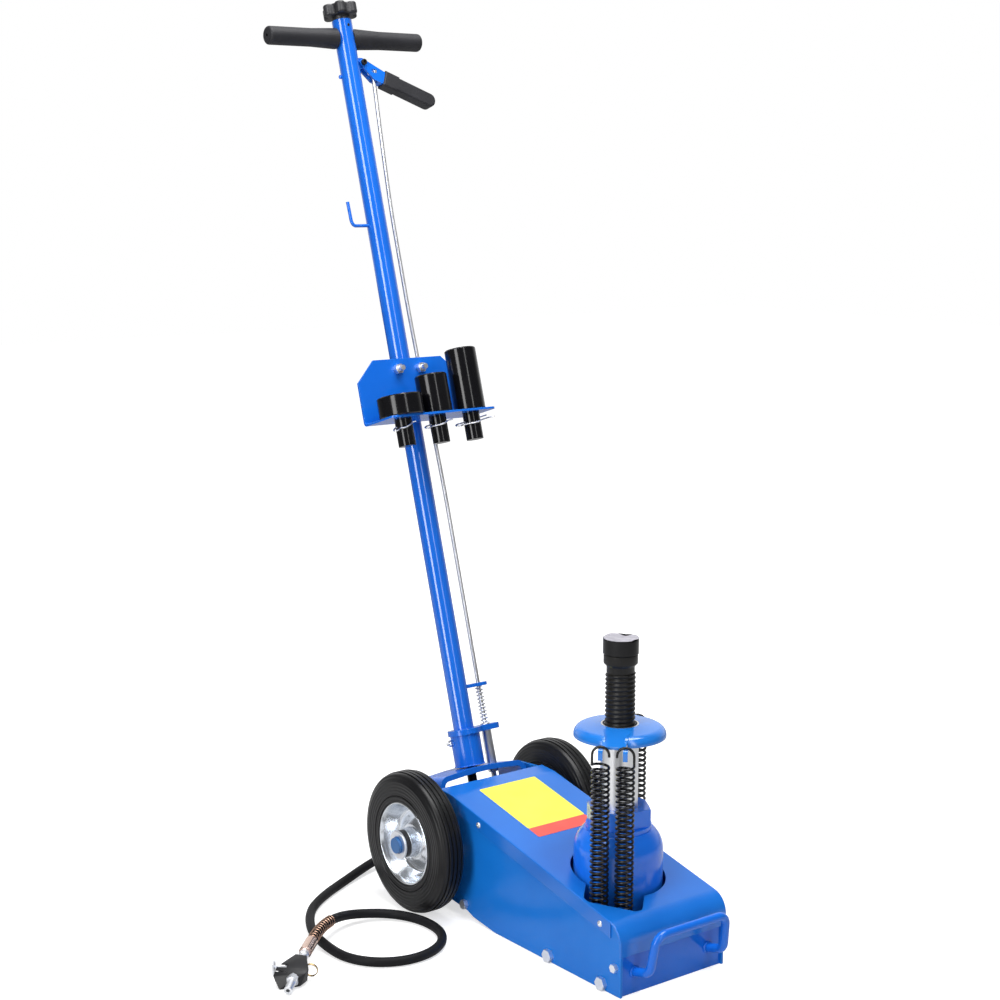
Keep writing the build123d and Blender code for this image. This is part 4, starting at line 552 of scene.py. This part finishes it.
clipPieces = []
clipTip = math.radians(clipWire["tip"])
for name, (x, s, clipLean, left, right) in clips.items():
    turn = math.radians(clipLean)
    points = []
    for along, out in clipLine(left, right):
        up = s + along * math.sin(turn) - out * math.sin(clipTip)
        front = clipWire["front"] + out * math.cos(clipTip)
        points.append(onHandle(x + along * math.cos(turn), up, front))
    piece = makeMesh(bendWire(f"{name}Clip", points, clipWire["thick"] / 2 * mm, sides=3, steps=8))
    fasten(piece, "handle")
    clipPieces.append(piece)

# small turned fittings on the handle: outline, place, the way it points and what it is made of
toLeft = (-1, 0, 0)
toRight = (1, 0, 0)
clampPlace = (-21.0, 36.6, -6)
fittings = {
    "leverBolt": {
        "line": [(0, 0.5), (2.1, 0.5), (2.1, 2.6), (3.8, 2.6), (4.4, 2.0), (4.4, -1.5), (0, -1.5)],
        "steps": 36, "at": (21, 1056, 9.6), "up": tubeFront, "side": toRight, "slot": "black_steel",
    },
    "tubeSetScrew": {
        "line": [(0, 0.1), (1.0, 0.1), (1.0, 0.7), (1.7, 0.7), (2.1, 0.3), (2.1, -0.8), (0, -0.8)],
        "steps": 24, "at": (0.9, 1110.8, 15), "up": tubeFront, "side": toRight, "slot": "black_steel",
    },
    "tubeNub": {
        "line": [(0, 3.4), (2.0, 3.4), (2.9, 2.6), (2.9, -2), (0, -2)],
        "steps": 28, "at": (-14.6, 1036.4, -4.7), "up": toLeft, "side": (0, 0, 1), "slot": "blue_paint",
    },
    "clampNut": {
        "line": [(0, 5.2), (3.9, 5.2), (4.9, 4.4), (4.9, 0.4), (4.3, -0.2), (0, -0.2)],
        "steps": 6, "angle": 30, "at": clampPlace, "up": toLeft, "side": tubeUp, "slot": "zinc_steel",
    },
    "clampScrew": {
        "line": [(0, 8.6), (2.1, 8.6), (2.6, 8.0), (2.6, 6.6), (2.3, 6.3), (2.6, 6.0), (2.6, 4), (0, 4)],
        "steps": 24, "at": clampPlace, "up": toLeft, "side": tubeUp, "slot": "zinc_steel",
    },
    "rightGripCollar": {
        "line": [(11.2, 9), (15.0, 9), (15.35, 16.3), (11.2, 16.3), (11.2, 9)],
        "steps": 56, "at": (0, 1093.5, 0), "up": toRight, "side": tubeUp, "slot": "black_rubber",
    },
}
fitted = {}
for name, f in fittings.items():
    piece = turnOnLathe(name, f["line"], f["steps"], f.get("angle", 40))
    placeAt(piece, onHandle(*f["at"]), f["up"], f["side"])
    fasten(piece, "handle")
    fitted[name] = piece
print("fittings turned")

# hand valve: a kite-shaped body with a notch for the thumb lever, on a plated neck
valve = {
    "at": (-358.53, 207.11, 22.65), "along": (-0.7113, -0.6813, -0.1703), "side": (0.691, -0.7226, 0.003),
    "corners": [
        (16, -8, 8), (18, 7, 8), (16, 7, -9), (16, -8, -9), (47, -25, 8), (46, -21, -12), (49, 18, 8),
        (46, 14, -12), (62, -26.5, 3), (57, 15.5, 6), (60.5, 8.5, -11), (73, -16, -9.7),
    ],
    "edge": 1.1, "edgeAngle": 18,
    "cuts": {"slot": ((33, 55), (-60, -7.87), (0.2, 5.8)), "notch": ((40, 48), (-60, -12), (4, 20))},
    "neck": [(0, -1), (5.4, -1), (5.4, 3.5), (6.8, 4.2), (6.8, 9.4), (6.0, 10.2), (6.0, 18), (0, 18)],
    "pin": [(0, 0), (1.7, 0), (2.0, 0.3), (2.0, 5.5), (1.7, 5.8), (0, 5.8)], "pinAt": (44, -12.97, 0.1),
}
valveAt = Vector(valve["at"])
valveAlong = Vector(valve["along"]).normalized()
valveSide = Vector(valve["side"])
valveUp = valveAlong.cross(valveSide)


def onValve(a, b, c):
    return (valveAt + valveAlong * a + valveSide * b + valveUp * c) * mm


def solidRound(name, places):  # the tight skin round some points
    obj = drawLine(name, places)
    bpy.ops.mesh.select_all(action="SELECT")
    bpy.ops.mesh.convex_hull()
    closeShape()
    return obj


valveBody = solidRound("handValveBody", [onValve(*corner) for corner in valve["corners"]])
rounding = valveBody.modifiers.new("rounding", "BEVEL")
rounding.width = valve["edge"] * mm
rounding.segments = 3
rounding.limit_method = "ANGLE"
rounding.angle_limit = math.radians(valve["edgeAngle"])
applyModifier(valveBody, rounding)
for cutName, spans in valve["cuts"].items():
    corners = [onValve(a, b, c) for a in spans[0] for b in spans[1] for c in spans[2]]
    cutter = solidRound("valveCutter", corners)
    cut = valveBody.modifiers.new(cutName, "BOOLEAN")
    cut.operation = "DIFFERENCE"
    cut.solver = "EXACT"
    cut.object = cutter
    applyModifier(valveBody, cut)
    bpy.data.objects.remove(cutter)
smooth(valveBody, 30)
valveNeck = turnOnLathe("valveNeck", valve["neck"], 36)
placeAt(valveNeck, onValve(0, 0, 0), valveAlong, valveUp)
thumbPin = turnOnLathe("thumbPin", valve["pin"], 24)
placeAt(thumbPin, onValve(*valve["pinAt"]), valveUp, valveAlong)
fasten(valveBody, "chassis", "air_valve_body")
fasten(valveNeck, "chassis")
fasten(thumbPin, "chassis")

# split ring on the right flank of the hand valve, not quite two turns
splitRing = {
    "reach": 34, "out": 17, "drop": 2, "radius": 8.5, "wire": 1.5, "pitch": 1.6, "knots": 45, "perTurn": 24,
}
c = splitRing
points = []
for i in range(c["knots"]):
    turns = i / c["perTurn"]
    angle = 2 * math.pi * i / c["perTurn"]
    out = c["out"] + c["radius"] * math.cos(angle)
    points.append(onValve(c["reach"] + turns * c["pitch"], out, c["radius"] * math.sin(angle) - c["drop"]))
valveRing = makeMesh(bendWire("valveRing", points, c["wire"] / 2 * mm, sides=3, steps=3))
fasten(valveRing, "chassis")
print("hand valve made")

# weld beads round the carry handle's feet and the foot of the sleeve
footWeld = {"x": 63.5, "y": -107.6, "z": 28.5, "ring": 6.6, "size": 2.0, "knots": 20, "half": 9}
sleeveWeld = {"ring": 22.0, "s": 1.0, "size": 1.1, "knots": 34, "half": 16}
beadLumps = {"base": 0.86, "swing": 0.2, "quick": 2.3, "slow": 0.9}


def weldBead(name, points, size, body):  # a lumpy bead laid along points
    b = beadLumps
    lumps = []
    for i in range(len(points)):
        lump = b["base"] + b["swing"] * math.sin(b["quick"] * i) * math.cos(b["slow"] * i)
        lumps.append(size * mm * lump)
    bead = makeMesh(bendWire(name, points, lumps, sides=3, steps=4))
    fasten(bead, body)
    return bead


def weldAngles(weld):  # a little over one turn, so that the ends meet
    return [math.pi * i / weld["half"] for i in range(weld["knots"])]


beads = []
f = footWeld
for sideName, side in bothSides:
    points = []
    for angle in weldAngles(f):
        x = side * f["x"] + f["ring"] * math.cos(angle)
        points.append(Vector((x, f["y"], f["z"] + f["ring"] * math.sin(angle))) * mm)
    beads.append(weldBead(f"{sideName}FootWeld", points, f["size"], "chassis"))
f = sleeveWeld
points = [onHandle(f["ring"] * math.cos(a), f["s"], f["ring"] * math.sin(a)) for a in weldAngles(f)]
beads.append(weldBead("sleeveWeld", points, f["size"], "handle"))
print("welds laid")


# tools for finishes

def newFinish(name):
    material = bpy.data.materials.new(name)
    material.use_nodes = True
    tree = material.node_tree
    shader = tree.nodes["Principled BSDF"]
    return material, tree, shader


def addNode(tree, kind, **values):
    node = tree.nodes.new(kind)
    for key, value in values.items():
        if hasattr(node, key):
            setattr(node, key, value)
        else:
            node.inputs[key.replace("_", " ")].default_value = value
    return node


def grain(tree, scale, detail=3, stretch=None):  # noise on the piece's own coordinates
    where = addNode(tree, "ShaderNodeTexCoord")
    noise = addNode(tree, "ShaderNodeTexNoise", Scale=scale, Detail=detail, Roughness=0.55)
    if stretch:
        turn = addNode(tree, "ShaderNodeMapping", Scale=stretch)
        tree.links.new(where.outputs["Object"], turn.inputs["Vector"])
        tree.links.new(turn.outputs["Vector"], noise.inputs["Vector"])
    else:
        tree.links.new(where.outputs["Object"], noise.inputs["Vector"])
    return noise.outputs["Fac"]


def ramp(tree, source, low, high):  # each end is a place and a colour, or a grey value
    node = addNode(tree, "ShaderNodeValToRGB")
    for step, (place, colour) in zip(node.color_ramp.elements, (low, high)):
        step.position = place
        step.color = (*colour, 1) if isinstance(colour, tuple) else (colour, colour, colour, 1)
    tree.links.new(source, node.inputs["Fac"])
    return node.outputs["Color"]


def bumpOn(tree, shader, height, strength, depth, under=None):  # depth in mm
    bump = addNode(tree, "ShaderNodeBump", Strength=strength, Distance=depth * mm)
    tree.links.new(height, bump.inputs["Height"])
    if under is not None:
        tree.links.new(under, bump.inputs["Normal"])
    tree.links.new(bump.outputs["Normal"], shader.inputs["Normal"])
    return bump.outputs["Normal"]


def softEdges(tree, radius):  # radius in mm
    return addNode(tree, "ShaderNodeBevel", samples=4, Radius=radius * mm).outputs["Normal"]


def edgeMask(tree, radius):  # one on sharp edges, nought on flat faces
    flat = addNode(tree, "ShaderNodeNewGeometry")
    dot = addNode(tree, "ShaderNodeVectorMath", operation="DOT_PRODUCT")
    tree.links.new(softEdges(tree, radius), dot.inputs[0])
    tree.links.new(flat.outputs["Normal"], dot.inputs[1])
    return ramp(tree, dot.outputs["Value"], (0.80, 1.0), (0.97, 0.0))


def mixColour(tree, share, a, b):
    node = addNode(tree, "ShaderNodeMix", data_type="RGBA")
    tree.links.new(share, node.inputs["Factor"])
    colours = [s for s in node.inputs if s.type == "RGBA"]
    for socket, value in zip(colours, (a, b)):
        if isinstance(value, tuple):
            socket.default_value = (*value, 1)
        else:
            tree.links.new(value, socket)
    return [s for s in node.outputs if s.type == "RGBA"][0]


def tone(tree, shader, scale, detail, dark, light, high=0.7):  # uneven colour
    colour = ramp(tree, grain(tree, scale, detail), (0.3, dark), (high, light))
    tree.links.new(colour, shader.inputs["Base Color"])


def gloss(tree, shader, source, rough, spread, low=0.3, high=0.75):  # uneven roughness
    tree.links.new(ramp(tree, source, (low, rough), (high, rough + spread)), shader.inputs["Roughness"])


# paints: dark, light and a lighter edge colour, which is a painted highlight laid on sharp edges, roughness,
# orange peel, shine
paints = {
    "bluePaint": ((0.005, 0.120, 0.60), (0.008, 0.145, 0.66), (0.05, 0.28, 0.76), 0.14, 0.05, 0.45),
    "tubePaint": ((0.005, 0.120, 0.60), (0.008, 0.140, 0.66), (0.05, 0.28, 0.76), 0.07, 0.02, 0.9),
    "sidePlatePaint": ((0.006, 0.150, 0.57), (0.009, 0.175, 0.63), (0.06, 0.32, 0.78), 0.18, 0.04, 0.25),
    "coverPaint": ((0.005, 0.130, 0.53), (0.008, 0.155, 0.60), (0.06, 0.32, 0.78), 0.20, 0.04, 0.62),
    # painted light: a lighter copy of the blue paint, set lighter where light falls on the spring plate's top
    "litSpringPlatePaint": ((0.008, 0.165, 0.60), (0.012, 0.190, 0.66), (0.06, 0.34, 0.80), 0.14, 0.03, 0.95),
    # painted light: a lighter copy of the blue paint for the cast parts, set lighter to stand in for the
    # light on the bottle
    "litCastBluePaint": ((0.008, 0.155, 0.76), (0.012, 0.185, 0.84), (0.03, 0.26, 0.88), 0.14, 0.12, 0.6),
    "dullBluePaint": ((0.020, 0.110, 0.30), (0.026, 0.130, 0.36), (0.04, 0.15, 0.38), 0.30, 0.01, 0.45),
}
paintCoat = {
    "tone": 9, "gloss": 30, "spread": 0.06, "peel": 240, "depth": 0.1, "highlightEdge": 0.8, "softEdge": 0.7,
}


def paintFinish(name, dark, light, edgeHighlight, rough, peel, shine):
    p = paintCoat
    material, tree, shader = newFinish(name)
    base = ramp(tree, grain(tree, p["tone"]), (0.3, dark), (0.7, light))
    # painted highlight: the lighter edge colour is mixed in on sharp edges
    colour = mixColour(tree, edgeMask(tree, p["highlightEdge"]), base, edgeHighlight)
    tree.links.new(colour, shader.inputs["Base Color"])
    gloss(tree, shader, grain(tree, p["gloss"]), rough, p["spread"])
    bumpOn(tree, shader, grain(tree, p["peel"], 1), peel, p["depth"], softEdges(tree, p["softEdge"]))
    shader.inputs["Specular IOR Level"].default_value = shine
    return material


# bare and plated metals: dark, light, roughness, spread, stretch and scale of the grain, bump
metals = {
    "satinSteel": ((0.70, 0.71, 0.73), (0.76, 0.77, 0.79), 0.34, 0.05, (1, 1, 0.05), 40, 0),
    "drawnSteel": ((0.74, 0.75, 0.77), (0.82, 0.83, 0.85), 0.34, 0.04, None, 8, 0),
    "brightZinc": ((0.80, 0.85, 0.93), (0.92, 0.94, 0.96), 0.22, 0.03, None, 12, 0),
    "zincPlatedSteel": ((0.80, 0.82, 0.86), (0.90, 0.91, 0.93), 0.36, 0.10, None, 160, 0.03),
    "copperPlate": ((0.40, 0.22, 0.15), (0.58, 0.37, 0.27), 0.24, 0.12, None, 240, 0.05),
    "brightCopper": ((0.74, 0.52, 0.43), (0.86, 0.66, 0.57), 0.22, 0.06, None, 60, 0),
    "yellowBrass": ((0.58, 0.42, 0.22), (0.72, 0.55, 0.32), 0.22, 0.12, None, 200, 0.04),
    "motorCan": ((0.30, 0.31, 0.32), (0.38, 0.39, 0.40), 0.34, 0.14, (1, 0.1, 1), 120, 0.06),
}
metalSkin = {"tone": 14, "depth": 0.1, "softEdge": 0.4}


def metalFinish(name, dark, light, rough, spread, stretch, scale, bump):
    m = metalSkin
    material, tree, shader = newFinish(name)
    tone(tree, shader, m["tone"], 4, dark, light)
    streak = grain(tree, scale, 4, stretch)
    gloss(tree, shader, streak, rough, spread)
    shader.inputs["Metallic"].default_value = 1
    if bump:
        bumpOn(tree, shader, streak, bump, m["depth"], softEdges(tree, m["softEdge"]))
    return material


# black steel, rubber and plastic: dark, light, roughness, spread, scale, bump and depth of pores, shine
blacks = {
    "blackGlossSteel": ((0.003, 0.003, 0.004), (0.006, 0.006, 0.007), 0.10, 0.08, 60, 0.02, 0.1, 0.4),
    "blackSpringWire": ((0.003, 0.003, 0.004), (0.007, 0.007, 0.008), 0.14, 0.10, 300, 0.05, 0.1, 0.4),
    "blackOxideSteel": ((0.006, 0.006, 0.006), (0.014, 0.013, 0.012), 0.32, 0.14, 260, 0.10, 0.12, 0.25),
    "gripRubber": ((0.012, 0.012, 0.015), (0.020, 0.020, 0.024), 0.50, 0.14, 900, 0.18, 0.15, 0.35),
    "hoseRubber": ((0.006, 0.006, 0.007), (0.012, 0.012, 0.014), 0.46, 0.14, 700, 0.22, 0.15, 0.12),
    "valveBlack": ((0.007, 0.007, 0.008), (0.014, 0.014, 0.016), 0.34, 0.12, 500, 0.10, 0.1, 0.3),
    "mouldedPlastic": ((0.014, 0.014, 0.016), (0.026, 0.026, 0.030), 0.36, 0.12, 800, 0.12, 0.1, 0.5),
}
blackSkin = {"tone": 22, "softEdge": 0.5}


def blackFinish(name, dark, light, rough, spread, scale, bump, depth, shine):
    material, tree, shader = newFinish(name)
    tone(tree, shader, blackSkin["tone"], 4, dark, light, 0.72)
    pores = grain(tree, scale, 5)
    gloss(tree, shader, pores, rough, spread, 0.25, 0.8)
    shader.inputs["Specular IOR Level"].default_value = shine
    bumpOn(tree, shader, pores, bump, depth, softEdges(tree, blackSkin["softEdge"]))
    return material


# tyre rubber with fine rings round the axle
tyreLook = {
    "dark": (0.005, 0.005, 0.006), "light": (0.010, 0.010, 0.011), "rough": 0.28, "spread": 0.14,
    "shine": 0.28, "tone": 18, "pores": 420, "poreBump": 0.12, "poreDepth": 0.15, "softEdge": 0.6,
    "rings": 70, "ringWander": 0.5, "ringBump": 0.45, "ringDepth": 0.6,
}


def tyreFinish(name):
    t = tyreLook
    material, tree, shader = newFinish(name)
    tone(tree, shader, t["tone"], 4, t["dark"], t["light"], 0.72)
    pores = grain(tree, t["pores"], 4)
    gloss(tree, shader, pores, t["rough"], t["spread"], 0.25, 0.8)
    shader.inputs["Specular IOR Level"].default_value = t["shine"]
    where = addNode(tree, "ShaderNodeTexCoord")
    shift = addNode(tree, "ShaderNodeMapping", Location=-onAxle(0))
    tree.links.new(where.outputs["Object"], shift.inputs["Vector"])
    rings = addNode(tree, "ShaderNodeTexWave", wave_type="RINGS", rings_direction="X", Scale=t["rings"])
    rings.inputs["Distortion"].default_value = t["ringWander"]
    rings.inputs["Detail"].default_value = 1
    tree.links.new(shift.outputs["Vector"], rings.inputs["Vector"])
    below = bumpOn(tree, shader, pores, t["poreBump"], t["poreDepth"], softEdges(tree, t["softEdge"]))
    bumpOn(tree, shader, rings.outputs["Fac"], t["ringBump"], t["ringDepth"], below)
    return material


# the cover's panel, a smooth film with faint ripples: dark, light
films = {
    "panelYellow": ((0.86, 0.80, 0.075), (0.92, 0.86, 0.10)),
    "panelRed": ((0.80, 0.085, 0.066), (0.88, 0.11, 0.085)),
}
filmSkin = {"tone": 25, "gloss": 40, "rough": 0.30, "spread": 0.10, "ripple": 60, "bump": 0.05, "depth": 0.2}


def filmFinish(name, dark, light):
    f = filmSkin
    material, tree, shader = newFinish(name)
    tone(tree, shader, f["tone"], 3, dark, light)
    gloss(tree, shader, grain(tree, f["gloss"]), f["rough"], f["spread"])
    bumpOn(tree, shader, grain(tree, f["ripple"], 2), f["bump"], f["depth"])
    return material


# saddle: gloss black sides under a lighter top; the top's lilac grey stands partly for bare rubbed metal and
# partly is a painted reflection of the bright studio, laid on the upward faces
# dark and light are the top's grey, partly a painted reflection
saddleLook = {
    "black": (0.004, 0.004, 0.005), "dark": (0.26, 0.25, 0.29), "light": (0.40, 0.39, 0.44),
    "from": 0.35, "to": 0.62, "sideRough": 0.09, "topRough": 0.30, "shine": 0.3,
    "topGrain": 90, "pores": 160, "bump": 0.04, "depth": 0.1, "softEdge": 0.4,
}


def saddleFinish(name):
    s = saddleLook
    material, tree, shader = newFinish(name)
    turned = addNode(tree, "ShaderNodeNewGeometry")
    facing = addNode(tree, "ShaderNodeVectorMath", operation="DOT_PRODUCT")
    facing.inputs[1].default_value = (0, 0, 1)
    tree.links.new(turned.outputs["Normal"], facing.inputs[0])
    upward = facing.outputs["Value"]
    # painted reflection: faces turned up get the lighter grey, partly bare rubbed metal and partly a painted
    # reflection of the bright studio
    bareTopAndSheenMask = ramp(tree, upward, (s["from"], 0.0), (s["to"], 1.0))
    bareTopAndSheenColour = ramp(tree, grain(tree, s["topGrain"], 4), (0.3, s["dark"]), (0.7, s["light"]))
    tree.links.new(mixColour(tree, bareTopAndSheenMask, s["black"], bareTopAndSheenColour), shader.inputs["Base Color"])
    rough = ramp(tree, upward, (s["from"], s["sideRough"]), (s["to"], s["topRough"]))
    tree.links.new(rough, shader.inputs["Roughness"])
    shader.inputs["Specular IOR Level"].default_value = s["shine"]
    bumpOn(tree, shader, grain(tree, s["pores"]), s["bump"], s["depth"], softEdges(tree, s["softEdge"]))
    return material


finishes = {"tyreRubber": tyreFinish("tyreRubber"), "saddleBlack": saddleFinish("saddleBlack")}
for make, table in ((paintFinish, paints), (metalFinish, metals), (blackFinish, blacks), (filmFinish, films)):
    for name, values in table.items():
        finishes[name] = make(name, *values)

nodeFinish = {
    "sidePlatePaint": "left_side_plate right_side_plate rear_floor",
    "coverPaint": "top_cover",
    "litSpringPlatePaint": "spring_plate",
    "tubePaint": "handle_tube",
    "bluePaint": "front_plate base_plate carry_handle spring_anchors handle_yoke handle_sleeve lock_plate "
    "rod_bracket tool_tray cross_bar hand_lever lever_lug lock_quadrant",
    "dullBluePaint": "axle",
    "litCastBluePaint": "bottle gland_nut pump_block",
    "satinSteel": "ram",
    "zincPlatedSteel": "frame_bolts yoke_bolts tray_u_bolt tray_nuts air_nipple air_valve_lever air_inlet",
    "blackOxideSteel": "release_rod valve_stem",
    "blackGlossSteel": "pad_adapter short_adapter long_adapter",
    "gripRubber": "left_grip right_grip lever_grip",
    "tyreRubber": "left_tyre right_tyre",
    "mouldedPlastic": "release_knob left_bush right_bush",
    "brightCopper": "hose_ferrule",
    "motorCan": "air_motor",
}
pieceFinish = {
    "hoseRubber": [hose, ramWiper],
    "copperPlate": [hoseGuard],
    "blackSpringWire": springs,
    "zincPlatedSteel": [lockSpring, valveNeck, thumbPin, fitted["clampNut"], fitted["clampScrew"]]
    + washers + coverScrews + clipPieces,
    "blackOxideSteel": [screw, screwNeck, fitted["leverBolt"], fitted["tubeSetScrew"]],
    "brightZinc": rims,
    "gripRubber": [fitted["rightGripCollar"]],
    "saddleBlack": [saddle],
    "valveBlack": [valveBody],
    "drawnSteel": [lockRod, lockPin, crossPin],
    "bluePaint": beads + [fitted["tubeNub"], hoseHook],
    "yellowBrass": [valveRing],
    "panelYellow": [panelField],
    "panelRed": [panelBand],
}


def giveFinish(obj, material):
    if obj.material_slots:
        for held in obj.material_slots:
            held.material = material
    else:
        obj.data.materials.append(material)


for finishName, nodeNames in nodeFinish.items():
    for nodeName in nodeNames.split():
        giveFinish(nodes[nodeName], finishes[finishName])
for finishName, pieces in pieceFinish.items():
    for piece in pieces:
        giveFinish(piece, finishes[finishName])
print("finishes given")

# pale floor that runs out into white, in metres
floorPart = {
    "half": 9.0, "below": 0.0004, "grey": 0.64, "rough": 0.9, "glow": 0.62,
    "whiteFrom": 0.6, "whiteTo": 2.2,
}
pick()
bpy.ops.mesh.primitive_plane_add(size=floorPart["half"] * 2, location=(0, 0, -floorPart["below"]))
floor = bpy.context.object
floor.name = "studioFloor"
floorFinish, tree, shader = newFinish("paleFloor")
shader.inputs["Base Color"].default_value = (floorPart["grey"], floorPart["grey"], floorPart["grey"], 1)
shader.inputs["Roughness"].default_value = floorPart["rough"]
shader.inputs["Specular IOR Level"].default_value = 0
shader.inputs["Emission Color"].default_value = (1, 1, 1, 1)
path = addNode(tree, "ShaderNodeLightPath")
where = addNode(tree, "ShaderNodeTexCoord")
away = addNode(tree, "ShaderNodeVectorMath", operation="LENGTH")
tree.links.new(where.outputs["Object"], away.inputs[0])
spread = addNode(
    tree, "ShaderNodeMapRange", From_Min=floorPart["whiteFrom"], From_Max=floorPart["whiteTo"],
    To_Min=floorPart["glow"], To_Max=1,
)
tree.links.new(away.outputs["Value"], spread.inputs["Value"])


def combine(tree, operation, a, b):
    node = addNode(tree, "ShaderNodeMath", operation=operation)
    tree.links.new(a, node.inputs[0])
    tree.links.new(b, node.inputs[1])
    return node.outputs["Value"]


glow = combine(tree, "MULTIPLY", path.outputs["Is Camera Ray"], spread.outputs["Result"])
tree.links.new(glow, shader.inputs["Emission Strength"])
giveFinish(floor, floorFinish)

# white studio, seen white by the camera and in metal, and dimmer as a light
studio = {"sky": 0.45, "dimSide": 0.12, "dimFrom": -0.9, "dimTo": -0.15}
world = bpy.data.worlds.new("whiteStudio")
bpy.context.scene.world = world
world.use_nodes = True
tree = world.node_tree
back = tree.nodes["Background"]
back.inputs["Color"].default_value = (1, 1, 1, 1)
path = addNode(tree, "ShaderNodeLightPath")
seen = combine(tree, "MAXIMUM", path.outputs["Is Camera Ray"], path.outputs["Is Glossy Ray"])
seen = combine(tree, "MAXIMUM", seen, path.outputs["Is Transmission Ray"])
level = addNode(tree, "ShaderNodeMapRange", To_Min=studio["sky"], To_Max=1)
tree.links.new(seen, level.inputs["Value"])
# the studio is dimmer on the side that the photograph was taken from, behind the lamps
where = addNode(tree, "ShaderNodeTexCoord")
facing = addNode(tree, "ShaderNodeVectorMath", operation="DOT_PRODUCT")
facing.inputs[1].default_value = (viewAt - viewTo).normalized()
tree.links.new(where.outputs["Generated"], facing.inputs[0])
dim = addNode(
    tree, "ShaderNodeMapRange", interpolation_type="SMOOTHSTEP", From_Min=studio["dimFrom"],
    From_Max=studio["dimTo"], To_Min=1, To_Max=studio["dimSide"],
)
tree.links.new(facing.outputs["Value"], dim.inputs["Value"])
plain = combine(tree, "MAXIMUM", dim.outputs["Result"], path.outputs["Is Camera Ray"])
shade = combine(tree, "MULTIPLY", level.outputs["Result"], plain)
tree.links.new(shade, back.inputs["Strength"])

lamps = {  # place, aim, width and height in metres, power
    "leftStrip": ((-2.60, -0.55, 1.75), (0, 0.2, 0.7), 0.95, 3.4, 74),
    "rightStrip": ((-0.25, -2.60, 1.75), (0, 0.2, 0.7), 0.36, 3.4, 18),
    "topBox": ((0.1, 0.0, 2.9), (0, 0.2, 0.3), 2.0, 2.0, 92),
}
for name, (place, aim, width, height, power) in lamps.items():
    pick()
    bpy.ops.object.light_add(type="AREA", location=place)
    lamp = bpy.context.object
    lamp.name = name
    lamp.data.shape = "RECTANGLE"
    lamp.data.size = width
    lamp.data.size_y = height
    lamp.data.energy = power
    lamp.rotation_euler = (Vector(aim) - Vector(place)).to_track_quat("-Z", "Y").to_euler()
print("studio lit")

bpy.context.view_layer.update()
